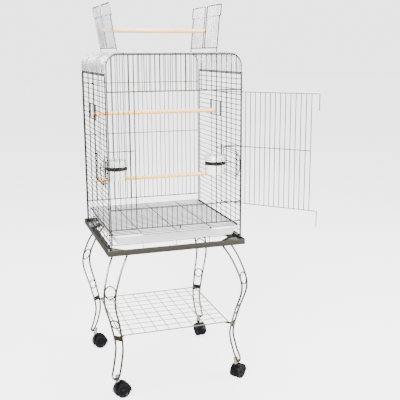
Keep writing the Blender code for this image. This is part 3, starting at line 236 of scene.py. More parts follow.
# Feeders
FEEDER_FRONT = -0.200
FEEDER_BACK = -0.040
FEEDER_ROW, FEEDER_ROWS = 11, 6           # first row of a feeder's opening, and its rows
STAY_FRONT, STAY_MIDDLE, STAY_BACK = -0.140, -0.025, 0.089       # a side wall's upright wires
FEEDER_PLAY = 0.0030
CUP_IN = 0.058            # how far the cup's middle lies inside the wall
CUP_RADIUS = 0.0380
CUP_FOOT = 0.0330
CUP_DEEP = 0.0530
CUP_WALL = 0.0020
CUP_FLANGE = 0.0055
CUP_RING = ((0.006, 0.0012), (0.003, 0.0012), (0.0024, 0.0), (0.0010, 0.0), (0.0, 0.0016))   # foot: in, up
CUP_INSIDE = ((0.001, 0.010), (-0.002, 0.003), (-0.008, 0.0))            # out past the wall, up
CUP_TAPER = 0.0004        # how much the cup narrows over its neck
CUP_NECK = 0.004
CUP_FILLET = (0.0006, 0.001)          # where the lip leaves the cup: out, down
CUP_EASE = 0.0008
BAND_HIGH = 0.014
BAND_THICK = 0.0020
BAND_PLAY = 0.0006
ARM_APART = 0.050         # distance between the band's two arms
HOOD_RISE = 0.019
HOOD_LEAN = 0.004
HOOD_BELLY = 0.55         # share of the lean that is reached half way up
LINK = THIN * 0.9         # short wires between a feeder door and its rings
HANDLE_OUT = 0.011
HANDLE_STEPS = 16

# Photograph's viewpoint, in the cage's own frame
EYE = (-0.6987, -2.6371, 1.2925)
EYE_YAW, EYE_DOWN, EYE_ROLL = 18.28, 12.17, -0.26         # degrees
LENS, SENSOR = 61.97, 36.0            # millimetres

# Studio light
FLOOR_GLOW = 3.2          # lifts the pale floor to the white of the backdrop
BACKDROP = 4.0            # white seen behind the object
SKY = 0.22                # soft light from all round
FLOOR_SIZE = 30           # half a side of the floor
FLOOR_TONE = (0.35, 0.35, 0.345)
FLOOR_ROUGH = 0.9
LAMP_AIM = (0, 0, 0.8)
LAMPS = {                 # place, size and power
    "lamp_key": ((-2.2, -3.0, 3.2), 2.4, 1000),
    "lamp_fill": ((3.0, -1.8, 1.8), 2.4, 420),
    "lamp_top": ((0.2, 0.8, 3.8), 3.0, 420),
}

# Surface effects: spans are cut out of a noise's range, and scales multiply a finish's own scale
BLOTCHES = (0.35, 0.65)
SPECKS, SPECKS_SCALE = (0.56, 0.72), 14.0
SPECKS_DULL = 0.7         # how much of the dull tone a speck shows
CLOUDS = (0.3, 0.7)
SCUFFS, SCUFFS_SCALE = (0.5, 0.75), 6.0
MOULD_SCALE = 90.0
PORES, PORES_SCALE = (0.5, 0.75), 2200.0
RINGS_SCALE = 260.0
RINGS_STRETCH = (0.04, 1.0, 1.0)      # draws the rings out along the dowel
RINGS_WAVER, RINGS_DETAIL, RINGS_DETAIL_SCALE = 6.0, 3.0, 1.5
WOOD_ROUGH, PORES_ROUGH = 0.5, 0.15
RELIEF = 0.0002           # depth of the grain on a surface

# Places that follow from the sizes
HALF_WIDE = CAGE_WIDE / 2
HALF_DEEP = CAGE_DEEP / 2
CORNER = FRAME + CLEAR
POST_X = HALF_WIDE - CORNER
POST_Y = HALF_DEEP - CORNER
PITCH = 2 * POST_X / GAPS_ACROSS
BASE_LOW = LEG_TOP + CLEAR
LEDGE_TOP = BASE_LOW + SHEET
PLATE_LOW = LEDGE_TOP + CLEAR
POST_FOOT = PLATE_LOW + PLATE + CLEAR
ROOF_LOW = WALL_HIGH + FRAME + CLEAR
ROOF_END = HALF_DEEP - FRAME / 2 - CLEAR
ROOF_PITCH = 2 * (ROOF_END - FRAME) / (ROOF_WIRES - 1)
TRAY_LOW = RACK_HEIGHT + THIN / 2 + CLEAR
TRAY_HIGH = TRAY_LOW + TRAY_DEEP
RAIL_HEIGHT = TRAY_HIGH + THIN / 2
GRATE_HEIGHT = RAIL_HEIGHT + THIN + CLEAR
FLAP_HALF = FLAP_GAPS * ROOF_PITCH
SLOT_HALF = PERCH_RADIUS + SLOT_PLAY + FRAME / 2
FEEDER_LOW = WALL_LOW + FEEDER_ROW * (WALL_HIGH - WALL_LOW) / WALL_GAPS
FEEDER_HIGH = FEEDER_LOW + FEEDER_ROWS * (WALL_HIGH - WALL_LOW) / WALL_GAPS
FEEDER_PLANE = HALF_WIDE + FRAME / 2 + RUN + THIN / 2
CUP_BACK = (FEEDER_FRONT + FEEDER_BACK) / 2
BAND_MIDDLE = (FEEDER_LOW + FEEDER_HIGH) / 2
BAND_INNER = CUP_RADIUS + BAND_PLAY
DOOR_LONG = DOOR_GAPS * PITCH + HOOK_OUT
DOOR_X = -POST_X + DOOR_HINGE * PITCH
CORNERS = {
    "front_left": (-1, -1, -135), "front_right": (1, -1, -45),
    "back_left": (-1, 1, 135), "back_right": (1, 1, 45),
}
base_low, base_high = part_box("base_frame")
CAGE = Vector(((base_low.x + base_high.x) / 2, (base_low.y + base_high.y) / 2, 0))


# Materials

def effect_group(name, tones, numbers):
    """An empty shader node group: tones and numbers go in, a tone, a roughness and a height come out."""
    group = bpy.data.node_groups.new(name, "ShaderNodeTree")
    for label, tone in tones.items():
        socket = group.interface.new_socket(label, in_out="INPUT", socket_type="NodeSocketColor")
        socket.default_value = (*tone, 1)
    for label, number in numbers.items():
        socket = group.interface.new_socket(label, in_out="INPUT", socket_type="NodeSocketFloat")
        socket.default_value = number
    group.interface.new_socket("Tone", in_out="OUTPUT", socket_type="NodeSocketColor")
    group.interface.new_socket("Roughness", in_out="OUTPUT", socket_type="NodeSocketFloat")
    group.interface.new_socket("Height", in_out="OUTPUT", socket_type="NodeSocketFloat")
    return group


def node(tree, kind, **settings):
    made = tree.nodes.new(kind)
    for key, value in settings.items():
        setattr(made, key, value)
    return made


def noise(tree, place, scale, detail):
    made = node(tree, "ShaderNodeTexNoise")
    made.inputs["Detail"].default_value = detail
    tree.links.new(place, made.inputs["Vector"])
    if isinstance(scale, (int, float)):
        made.inputs["Scale"].default_value = scale
    else:
        tree.links.new(scale, made.inputs["Scale"])
    return made.outputs["Fac"]


def maths(tree, operation, first, second):
    made = node(tree, "ShaderNodeMath", operation=operation)
    for socket, value in zip(made.inputs, (first, second)):
        if isinstance(value, (int, float)):
            socket.default_value = value
        else:
            tree.links.new(value, socket)
    return made.outputs["Value"]


def spread_out(tree, value, span):
    """The part of the value's range inside the span, stretched to run from zero to one."""
    made = node(tree, "ShaderNodeMapRange")
    tree.links.new(value, made.inputs["Value"])
    made.inputs["From Min"].default_value = span[0]
    made.inputs["From Max"].default_value = span[1]
    return made.outputs["Result"]


def blend_tones(tree, mask, first, second):
    made = node(tree, "ShaderNodeMix", data_type="RGBA")
    tree.links.new(mask, made.inputs["Factor"])
    tree.links.new(first, made.inputs["A"])
    tree.links.new(second, made.inputs["B"])
    return made.outputs["Result"]


def tarnish_group():
    """Plated or coated wire: soft blotches between two tones, and small dull specks."""
    group = effect_group("tarnish", {"Tone": (0.5, 0.5, 0.5), "Dull Tone": (0.3, 0.3, 0.3)},
                         {"Scale": 20.0, "Roughness": 0.2, "Spread": 0.1})
    sockets = node(group, "NodeGroupInput").outputs
    place = node(group, "ShaderNodeTexCoord").outputs["Object"]
    blotches = spread_out(group, noise(group, place, sockets["Scale"], detail=3), BLOTCHES)
    fine_scale = maths(group, "MULTIPLY", sockets["Scale"], SPECKS_SCALE)
    specks = noise(group, place, fine_scale, detail=4)
    dull = maths(group, "MULTIPLY", spread_out(group, specks, SPECKS), SPECKS_DULL)
    mask = maths(group, "MAXIMUM", blotches, dull)
    rough = maths(group, "ADD", sockets["Roughness"], maths(group, "MULTIPLY", mask, sockets["Spread"]))
    out = node(group, "NodeGroupOutput")
    group.links.new(blend_tones(group, mask, sockets["Tone"], sockets["Dull Tone"]), out.inputs["Tone"])
    group.links.new(rough, out.inputs["Roughness"])
    group.links.new(specks, out.inputs["Height"])
    return group


def moulding_group():
    """Moulded plastic: a fine even grain, faint clouds in the colour and scuffs in the gloss."""
    group = effect_group("moulding", {"Tone": (0.8, 0.8, 0.8), "Cloud Tone": (0.7, 0.7, 0.7)},
                         {"Scale": 12.0, "Roughness": 0.4, "Spread": 0.1})
    sockets = node(group, "NodeGroupInput").outputs
    place = node(group, "ShaderNodeTexCoord").outputs["Object"]
    clouds = spread_out(group, noise(group, place, sockets["Scale"], detail=5), CLOUDS)
    grain_scale = maths(group, "MULTIPLY", sockets["Scale"], MOULD_SCALE)
    grain = noise(group, place, grain_scale, detail=1)
    scuffs_scale = maths(group, "MULTIPLY", sockets["Scale"], SCUFFS_SCALE)
    scuffs = spread_out(group, noise(group, place, scuffs_scale, detail=6), SCUFFS)
    change = maths(group, "MULTIPLY", scuffs, sockets["Spread"])
    out = node(group, "NodeGroupOutput")
    group.links.new(blend_tones(group, clouds, sockets["Tone"], sockets["Cloud Tone"]), out.inputs["Tone"])
    group.links.new(maths(group, "ADD", sockets["Roughness"], change), out.inputs["Roughness"])
    group.links.new(grain, out.inputs["Height"])
    return group


def grain_group():
    """Turned hardwood: growth rings cut lengthways along X, and darker pores."""
    group = effect_group("dowel_grain", {"Light Tone": (0.8, 0.6, 0.4), "Dark Tone": (0.6, 0.4, 0.2)},
                         {"Ring Scale": RINGS_SCALE})
    sockets = node(group, "NodeGroupInput").outputs
    place = node(group, "ShaderNodeTexCoord").outputs["Object"]
    stretch = node(group, "ShaderNodeMapping")
    stretch.inputs["Scale"].default_value = RINGS_STRETCH
    group.links.new(place, stretch.inputs["Vector"])
    rings = node(group, "ShaderNodeTexWave", wave_type="BANDS", bands_direction="Y")
    rings.inputs["Distortion"].default_value = RINGS_WAVER
    rings.inputs["Detail"].default_value = RINGS_DETAIL
    rings.inputs["Detail Scale"].default_value = RINGS_DETAIL_SCALE
    group.links.new(stretch.outputs["Vector"], rings.inputs["Vector"])
    group.links.new(sockets["Ring Scale"], rings.inputs["Scale"])
    pores = spread_out(group, noise(group, stretch.outputs["Vector"], PORES_SCALE, detail=2), PORES)
    mask = maths(group, "MULTIPLY", maths(group, "ADD", rings.outputs["Fac"], pores), 0.5)
    out = node(group, "NodeGroupOutput")
    group.links.new(blend_tones(group, mask, sockets["Light Tone"], sockets["Dark Tone"]), out.inputs["Tone"])
    rough = maths(group, "ADD", maths(group, "MULTIPLY", pores, PORES_ROUGH), WOOD_ROUGH)
    group.links.new(rough, out.inputs["Roughness"])
    group.links.new(maths(group, "SUBTRACT", 1.0, mask), out.inputs["Height"])
    return group


def finish(name, group, tones, numbers, bump, constants):
    """A Principled material fed by one effect group. Its constants go on the shader's own sockets."""
    made = bpy.data.materials.new(name)
    made.use_nodes = True
    tree = made.node_tree
    shader = tree.nodes["Principled BSDF"]
    effect = node(tree, "ShaderNodeGroup", node_tree=group)
    for label, tone in tones.items():
        effect.inputs[label].default_value = (*tone, 1)
    for label, number in numbers.items():
        effect.inputs[label].default_value = number
    tree.links.new(effect.outputs["Tone"], shader.inputs["Base Color"])
    tree.links.new(effect.outputs["Roughness"], shader.inputs["Roughness"])
    relief = node(tree, "ShaderNodeBump")
    relief.inputs["Strength"].default_value = bump
    relief.inputs["Distance"].default_value = RELIEF
    tree.links.new(effect.outputs["Height"], relief.inputs["Height"])
    tree.links.new(relief.outputs["Normal"], shader.inputs["Normal"])
    for label, value in constants.items():
        shader.inputs[label].default_value = value
    return made


def plated(name, tone, dull, scale, rough, spread, bump=0.1, metallic=1.0, coat=0.0):
    return finish(name, TARNISH, {"Tone": tone, "Dull Tone": dull},
                  {"Scale": scale, "Roughness": rough, "Spread": spread}, bump,
                  {"Metallic": metallic, "Coat Weight": coat})


def moulded(name, tone, cloud, scale, rough, spread, bump=0.15, constants=None):
    return finish(name, MOULDING, {"Tone": tone, "Cloud Tone": cloud},
                  {"Scale": scale, "Roughness": rough, "Spread": spread}, bump, constants or {})


TARNISH = tarnish_group()
MOULDING = moulding_group()
GRAIN = grain_group()

# Each finish: its name, two tones, scale, roughness and the spread of the roughness
FINISHES = {
    # This copy of the wire chrome is darkened far below bright chrome: painted shade for the dark that the
    # thin wires reflect
    "cage_wire": plated("wire_chrome_painted_shade", (0.100, 0.095, 0.083), (0.045, 0.042, 0.034), 9.0, 0.20, 0.16),
    # The same wire chrome made light for the roof and flaps: a painted highlight for the upper wires lit from
    # above
    "roof_wire": plated("wire_chrome_painted_highlight", (0.58, 0.60, 0.63), (0.26, 0.26, 0.26), 9.0, 0.24, 0.14),
    "leg_chrome": plated("leg_chrome", (0.220, 0.208, 0.195), (0.034, 0.031, 0.023), 6.0, 0.20, 0.12),
    "plate_chrome": plated("plate_chrome", (0.70, 0.70, 0.71), (0.36, 0.36, 0.35), 30.0, 0.34, 0.20),
    # The cup's band and cradle wires take a plain dark metal tone
    "band_metal": plated("band_dark_tone", (0.10, 0.09, 0.08), (0.03, 0.03, 0.03), 40.0, 0.16, 0.14),
    "base_paint": plated("base_hammered_paint", (0.062, 0.058, 0.048), (0.052, 0.048, 0.040),
                         60.0, 0.50, 0.12, bump=0.3),
    "shelf_coat": plated("shelf_powder_coat", (0.11, 0.104, 0.078), (0.080, 0.075, 0.055), 16.0, 0.42, 0.15,
                         bump=0.3, metallic=0.0, coat=0.1),
    "tray_plastic": moulded("tray_plastic", (0.95, 0.95, 0.96), (0.90, 0.90, 0.91), 6.0, 0.36, 0.2),
    "caster_plastic": moulded("caster_black", (0.003, 0.003, 0.004), (0.005, 0.005, 0.006), 30.0, 0.26, 0.12,
                              bump=0.03, constants={"Specular IOR Level": 0.08}),
    "cup_plastic": moulded("cup_white", (0.96, 0.96, 0.96), (0.91, 0.91, 0.90), 18.0, 0.30, 0.2),
    "hood_plastic": moulded("hood_clear_green", (0.78, 0.86, 0.81), (0.70, 0.78, 0.73), 18.0, 0.16, 0.12,
                            constants={"Transmission Weight": 0.6, "IOR": 1.49}),
    "perch_wood": finish("perch_wood", GRAIN,
                         {"Light Tone": (0.88, 0.51, 0.18), "Dark Tone": (0.68, 0.33, 0.09)},
                         {"Ring Scale": RINGS_SCALE}, 0.25, {"Metallic": 0.0}),
}
# The darker and the lighter copy of the one wire chrome, picked piece by piece: painted shade and painted
# highlight
PAINTED_SHADE_WIRE = FINISHES["cage_wire"]
PAINTED_HIGHLIGHT_WIRE = FINISHES["roof_wire"]
CLAMP_BRASS = plated("clamp_brass", (0.060, 0.046, 0.022), (0.030, 0.023, 0.011), 40.0, 0.30, 0.16)
# The same wire chrome again, near black and rough: painted shade for the rack, grate, front and back tray
# wires, feeder doors and leg rings
PAINTED_DEEP_SHADE_WIRE = plated("wire_chrome_painted_deep_shade", (0.030, 0.028, 0.024), (0.020, 0.018, 0.015), 12.0, 0.60, 0.15)
NICKEL = plated("stem_nickel", (0.66, 0.62, 0.52), (0.40, 0.36, 0.28), 60.0, 0.20, 0.18)
TYRE = moulded("wheel_tread_black", (0.004, 0.004, 0.005), (0.007, 0.007, 0.008), 60.0, 0.45, 0.2,
               bump=0.05, constants={"Specular IOR Level": 0.1})


# Shape helpers

def seat(made, body, slot, at=(0, 0, 0), turn=(0, 0, 0), nodes=(), material=None):
    """Puts a finished shape in its place, gives it its material and ties it to its body."""
    bpy.context.scene.collection.objects.link(made)
    made.data.transform(Euler(turn).to_matrix().to_4x4())
    made.location = CAGE + Vector(at)
    made.data.materials.append(material or FINISHES[slot])
    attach(made, body)
    if nodes:
        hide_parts(*nodes)
    return made


def rounded(points, bend, closed=False):
    """The path with each corner eased to about the bend's radius."""
    points = [Vector(point) for point in points]
    made = []
    for i, corner in enumerate(points):
        if not closed and i in (0, len(points) - 1):
            made.append(corner)
            continue
        back = points[i - 1] - corner
        ahead = points[(i + 1) % len(points)] - corner
        opening = back.angle(ahead)
        cut = min(bend / tan(opening / 2), BEND_SHARE * back.length, BEND_SHARE * ahead.length)
        start, end = corner + back.normalized() * cut, corner + ahead.normalized() * cut
        for step in range(BEND_POINTS + 1):
            t = step / BEND_POINTS
            made.append(start * (1 - t) ** 2 + corner * 2 * t * (1 - t) + end * t * t)
    return made


def circle(middle, first, second, radius, count=20):
    """Points round a circle in the plane of two unit directions."""
    middle, first, second = Vector(middle), Vector(first), Vector(second)
    return [middle + radius * (first * cos(2 * pi * k / count) + second * sin(2 * pi * k / count))
            for k in range(count)]


def wires(name, slot, body, runs, fine=2, **where):
    """One piece of round wires. A run is (points, thickness), with True added where it closes on itself."""
    curve = bpy.data.curves.new(name, "CURVE")
    curve.dimensions = "3D"
    curve.bevel_depth = FRAME / 2
    curve.bevel_resolution = fine
    curve.use_fill_caps = True
    for points, thick, *closed in runs:
        spline = curve.splines.new("POLY")
        spline.points.add(len(points) - 1)
        for target, point in zip(spline.points, points):
            target.co = (*point, 1)
            target.radius = thick / FRAME
        spline.use_cyclic_u = bool(closed)
    return seat(bpy.data.objects.new(name, curve), body, slot, **where)


def solid(name, slot, body, draw, ease=0.0, **where):
    """One mesh piece drawn by a function into a bmesh, with its sharp edges eased and smooth shading."""
    draft = bmesh.new()
    draw(draft)
    bmesh.ops.remove_doubles(draft, verts=draft.verts, dist=1e-6)
    bmesh.ops.recalc_face_normals(draft, faces=draft.faces)
    if ease:
        sharp = [edge for edge in draft.edges
                 if edge.is_manifold and edge.calc_face_angle() > radians(CREASE)]
        bmesh.ops.bevel(draft, geom=sharp, offset=ease, segments=3, profile=0.5, affect="EDGES",
                        clamp_overlap=True)
    mesh = bpy.data.meshes.new(name)
    draft.to_mesh(mesh)
    draft.free()
    mesh.shade_smooth()
    mesh.set_sharp_from_angle(angle=radians(SHARP))
    return seat(bpy.data.objects.new(name, mesh), body, slot, **where)


def skin(draft, rings, closed=False):
    """Quads between neighbouring rings of points, with caps at open ends."""
    made = [[draft.verts.new(point) for point in ring] for ring in rings]
    sides = len(made[0])
    for i in range(len(made) if closed else len(made) - 1):
        here, there = made[i], made[(i + 1) % len(made)]
        for k in range(sides):
            following = (k + 1) % sides
            draft.faces.new((here[k], here[following], there[following], there[k]))
    if not closed:
        draft.faces.new(made[0])
        draft.faces.new(made[-1])


def lathe(draft, middle, profile, sides=40, axis="Z", closed=False):
    """A turned shape: the profile's (radius, height) points run round the axis through the middle."""
    rings = []
    for radius, height in profile:
        ring = []
        for k in range(sides):
            a, b = radius * cos(2 * pi * k / sides), radius * sin(2 * pi * k / sides)
            offset = {"X": (height, a, b), "Y": (a, height, b), "Z": (a, b, height)}[axis]
            ring.append(Vector(middle) + Vector(offset))
        rings.append(ring)
    skin(draft, rings, closed)


def block(draft, low, high):
    """A box between two opposite corners."""
    ring = [(low[0], low[1]), (high[0], low[1]), (high[0], high[1]), (low[0], high[1])]
    skin(draft, [[(x, y, z) for x, y in ring] for z in (low[2], high[2])])


def slab(draft, outline, low, high, axis="Z"):
    """A flat outline of (a, b) points pulled from low to high along the axis."""
    if axis == "Z":
        skin(draft, [[(a, b, height) for a, b in outline] for height in (low, high)])
    else:
        skin(draft, [[(a, height, b) for a, b in outline] for height in (low, high)])


def beads(name, slot, body, points, size=WELD, **where):
    """Small weld beads, one closed blob at each point."""
    def draw(draft):
        for point in points:
            bmesh.ops.create_icosphere(draft, subdivisions=1, radius=size, matrix=Matrix.Translation(point))
    return solid(name, slot, body, draw, **where)


def ring_radius(side):
    """Radius of a ring of wire that turns freely on a bar, which is square in the part."""
    return side / sqrt(2) + RUN + RING_WIRE / 2


def hinge_ring(middle, axis, side):
    """An eye of wire bent once round a hinge wire of the given thickness."""
    ways = {"X": ((0, 1, 0), (0, 0, 1)), "Y": ((1, 0, 0), (0, 0, 1)), "Z": ((1, 0, 0), (0, 1, 0))}[axis]
    return (circle(middle, *ways, ring_radius(side)), RING_WIRE, True)


# Cage panels

def row_height(row):
    """Height of a side wall's level bar, counted up from the wall's lowest wire."""
    return WALL_LOW + row * (WALL_HIGH - WALL_LOW) / WALL_GAPS


def bar_x(number):
    """Place of an upright bar of the front or back panel, counted from the left post."""
    return -POST_X + number * PITCH


def arch_height(x):
    """Middle of the arch wire of the front or back panel above a point."""
    bend = ROOF_BEND - CORNER
    beyond = abs(x) - (POST_X - bend)
    top = ROOF_TOP - CORNER
    return top if beyond <= 0 else top - bend + sqrt(max(bend * bend - beyond * beyond, 0))


def arch_path(plane):
    """Feet, posts and the rounded top of the front or back panel."""
    bend = ROOF_BEND - CORNER
    top = ROOF_TOP - CORNER
    right = []
    for step in range(BEND_STEPS + 1):
        angle = pi / 2 * step / BEND_STEPS
        right.append((POST_X - bend + bend * cos(angle), plane, top - bend + bend * sin(angle)))
    left = [(-x, y, z) for x, y, z in reversed(right)]
    return [(POST_X, plane, POST_FOOT)] + right + left + [(-POST_X, plane, POST_FOOT)]


def front_panel():
    """Upright bars under the front arch, broken off at the doorway, with a short level wire on each side."""
    plane = -HALF_DEEP
    levels = (FRONT_LOW, DOORWAY_LOW, DOORWAY_HIGH)
    frame_runs = [(arch_path(plane), FRAME)]
    frame_runs += [([(-POST_X, plane, z), (POST_X, plane, z)], FRAME) for z in levels]
    bars, welds = [], []
    for number in range(1, GAPS_ACROSS):
        x = bar_x(number)
        side = EDGE if number in (DOORWAY_FIRST, DOORWAY_LAST) else THIN if number == DOOR_HINGE else BAR
        stops = [*levels, arch_height(x)]
        welds += [(x, plane - WELD_OUT, z) for z in levels]
        for low, high in zip(stops, stops[1:]):
            if not (low == DOORWAY_LOW and DOORWAY_FIRST < number < DOORWAY_LAST):
                bars.append(([(x, plane, low), (x, plane, high)], side))
    outer = plane - LAYER
    for start, end in ((-POST_X, bar_x(DOORWAY_FIRST)), (bar_x(DOORWAY_LAST), POST_X)):
        bars.append(([(start, outer, STRIP_STAY), (end, outer, STRIP_STAY)], BAR))
    wires("front_panel_frame", "cage_wire", "cage", frame_runs, fine=3, nodes=["front_panel"])
    wires("front_panel_bars", "cage_wire", "cage", bars)
    beads("front_panel_welds", "cage_wire", "cage", welds)


def back_panel():
    """Upright bars under the back arch, with two level wires behind them."""
    plane = HALF_DEEP
    frame_runs = [(arch_path(plane), FRAME), ([(-POST_X, plane, BACK_LOW), (POST_X, plane, BACK_LOW)], FRAME)]
    bars = [([(-POST_X, plane + LAYER, z), (POST_X, plane + LAYER, z)], BAR) for z in BACK_STAYS]
    welds = []
    for number in range(1, GAPS_ACROSS):
        x = bar_x(number)
        bars.append(([(x, plane - LAYER, BACK_LOW), (x, plane - LAYER, arch_height(x))], BAR))
        welds += [(x, plane, z) for z in BACK_STAYS]
    wires("back_panel_frame", "cage_wire", "cage", frame_runs, fine=3, nodes=["back_panel"])
    wires("back_panel_bars", "cage_wire", "cage", bars)
    beads("back_panel_welds", "cage_wire", "cage", welds)


def side_wall(label, side):
    """A wall of level bars with an opening for the feeder and a small window at the upper perch's end."""
    plane = side * HALF_WIDE
    rows, stays = side * (HALF_WIDE - LAYER), side * (HALF_WIDE + LAYER)
    holes = ((FEEDER_FRONT, FEEDER_BACK, FEEDER_ROW, FEEDER_ROWS),
             (STAY_MIDDLE, STAY_BACK, WINDOW_ROW, WINDOW_ROWS))
    posts = rounded([(plane, -POST_Y, POST_FOOT), (plane, -POST_Y, WALL_HIGH),
                     (plane, POST_Y, WALL_HIGH), (plane, POST_Y, POST_FOOT)], WIRE_BEND)
    frame_runs = [(posts, FRAME), ([(plane, -POST_Y, WALL_LOW), (plane, POST_Y, WALL_LOW)], FRAME)]
    bars, welds = [], []
    for row in range(1, WALL_GAPS):
        z = row_height(row)
        stops = [-POST_Y]
        for front, back, first, count in holes:
            if first < row < first + count:
                stops += [front, back]
        stops.append(POST_Y)
        for start, end in zip(stops[::2], stops[1::2]):
            bars.append(([(rows, start, z), (rows, end, z)], BAR))
        for y in (STAY_FRONT, STAY_MIDDLE, STAY_BACK):
            if any(start <= y <= end for start, end in zip(stops[::2], stops[1::2])):
                welds.append((plane, y, z))
    over = SQUARE_BAR / 2 + CLEAR
    for front, back, first, count in holes:
        low, high = row_height(first) - over, row_height(first + count) + over
        bars += [([(rows, y, low), (rows, y, high)], THIN) for y in (front, back)]
    for y, low, high in ((STAY_MIDDLE, WALL_LOW, WALL_HIGH), (STAY_BACK, WALL_LOW, WALL_HIGH),
                         (STAY_FRONT, WALL_LOW, FEEDER_LOW), (STAY_FRONT, FEEDER_HIGH, WALL_HIGH)):
        bars.append(([(stays, y, low), (stays, y, high)], BAR))
    wires(f"{label}_wall_frame", "cage_wire", "cage", frame_runs, fine=3, nodes=[f"{label}_wall"])
    wires(f"{label}_wall_bars", "cage_wire", "cage", bars)
    beads(f"{label}_wall_welds", "cage_wire", "cage", welds)


def perch_bracket(label, side):
    """A flat wire frame inside a wall's window, with a slot that holds the upper perch's end."""
    plane = side * (HALF_WIDE - LAYER - THIN - CLEAR)
    low, high = row_height(WINDOW_ROW), row_height(WINDOW_ROW + WINDOW_ROWS)
    back, height = PERCHES["upper_perch"]
    slot = PERCH_RADIUS + CLEAR + BAR / 2
    loop = rounded([(plane, STAY_MIDDLE, low), (plane, STAY_BACK, low), (plane, STAY_BACK, high),
                    (plane, STAY_MIDDLE, high)], SMALL_BEND, closed=True)
    seat_bend = rounded([(plane, back - slot, high), (plane, back - slot, height - slot),
                         (plane, back + slot, height - slot), (plane, back + slot, high)], slot * SEAT_ROUND)
    feet = [([(plane, back + way * slot, low), (plane, back + way * slot, height - slot / 2)], SQUARE_BAR)
            for way in (-1, 1)]
    wires(f"{label}_perch_bracket_wires", "cage_wire", "cage",
          [(loop, THIN, True), (seat_bend, SQUARE_BAR), *feet], nodes=[f"{label}_perch_bracket"])


# Roof, flaps and perches

def roof_side_path(y, side):
    """One roof wire from a skirt, over its shoulder, to the edge of the roof's opening."""
    path = [(side * HALF_WIDE, y, ROOF_LOW)]
    for step in range(BEND_STEPS + 1):
        angle = pi / 2 * step / BEND_STEPS
        across = HALF_WIDE - ROOF_BEND + ROOF_BEND * cos(angle)
        path.append((side * across, y, ROOF_TOP - ROOF_BEND + ROOF_BEND * sin(angle)))
    return path + [(side * FLAP_HINGE, y, ROOF_TOP)]


def roof_wire_places():
    return [(number - (ROOF_WIRES - 1) / 2) * ROOF_PITCH for number in range(ROOF_WIRES)]


def opening_edge():
    """Distance from the roof's middle to the first roof wire that clears the flaps."""
    past = FLAP_HALF + LIP_BULGE + FRAME
    return min(y for y in roof_wire_places() if y > past)


def roof():
    """Wires over both shoulders of the cage, the edges of the opening and a rest under each flap's end."""
    edge = opening_edge()
    frame_runs, bars, welds = [], [], []
    for side in (-1, 1):
        for x, z in ((side * HALF_WIDE, ROOF_LOW), (side * FLAP_HINGE, ROOF_TOP)):
            frame_runs.append(([(x, -ROOF_END, z), (x, ROOF_END, z)], FRAME))
        rest = side * (FLAP_HINGE - FLAP_LONG + FRAME)
        height = ROOF_TOP + FLAP_RISE - FRAME - CLEAR
        frame_runs.append(([(rest, -edge, height), (rest, edge, height)], FRAME))
    for y in roof_wire_places():
        for side in (-1, 1):
            bars.append((roof_side_path(y, side), BAR))
            welds.append((side * HALF_WIDE, y, ROOF_LOW + FRAME / 2))
            welds.append((side * FLAP_HINGE, y, ROOF_TOP - FRAME / 4))
        if abs(y) >= edge - CLEAR:
            thick = FRAME if abs(y) < edge + CLEAR else BAR
            bars.append(([(-FLAP_HINGE, y, ROOF_TOP), (FLAP_HINGE, y, ROOF_TOP)], thick))
    # The roof's frame takes the darker wire copy and its bars and welds the lighter one: painted shade and
    # painted highlight on the same chrome
    wires("roof_frame", "roof_wire", "cage", frame_runs, fine=3, nodes=["roof"], material=PAINTED_SHADE_WIRE)
    wires("roof_bars", "roof_wire", "cage", bars)
    beads("roof_welds", "roof_wire", "cage", welds)


def flap(label, side):
    """A roof flap, drawn shut and turned open about its hinge line."""
    def at(out, y, up=0.0):
        return Vector((-side * out, y, FLAP_RISE + up))

    lip = FLAP_HALF + LIP_BULGE
    outline = [(FLAP_FOOT, SLOT_HALF), (FLAP_LONG, SLOT_HALF), (FLAP_LONG, lip), (LIP_NECK, lip),
               (LIP_NECK, FLAP_HALF), (ring_radius(FRAME), FLAP_HALF)]
    gap = (FLAP_HALF - SLOT_HALF) / (FLAP_BARS + 1)
    drop = -LAYER + CLEAR / 2
    frame_runs = [([at(FLAP_FOOT, -FLAP_HALF), at(FLAP_FOOT, FLAP_HALF)], FRAME)]
    bars, welds = [], []
    for way in (-1, 1):
        frame_runs.append((rounded([at(out, way * y) for out, y in outline], LIP_ROUND), FRAME))
        for number in range(1, FLAP_BARS + 1):
            y = way * (SLOT_HALF + number * gap)
            bars.append(([at(FLAP_FOOT, y, drop), at(FLAP_LONG, y, drop)], BAR))
            welds += [at(FLAP_FOOT, y, drop), at(FLAP_LONG, y, drop), at(LIP_NECK, y)]
        bars.append(([at(LIP_NECK, way * SLOT_HALF, LAYER), at(LIP_NECK, way * FLAP_HALF, LAYER)], BAR))
        bars.append(hinge_ring((0, way * FLAP_HALF, 0), "Y", FRAME))
    where = {"at": (side * FLAP_HINGE, 0, ROOF_TOP), "turn": (0, side * radians(FLAP_OPEN[label]), 0)}
    # Every flap's bars and welds, and the left flap's frame, take the lighter wire copy as a painted
    # highlight; the right flap's frame takes the darker copy as painted shade
    wires(f"{label}_flap_frame", "roof_wire", f"{label}_flap", frame_runs, fine=3, nodes=[f"{label}_flap"],
          material=PAINTED_HIGHLIGHT_WIRE if label == "left" else PAINTED_SHADE_WIRE, **where)
    wires(f"{label}_flap_bars", "roof_wire", f"{label}_flap", bars, **where)
    beads(f"{label}_flap_welds", "roof_wire", f"{label}_flap", welds, **where)


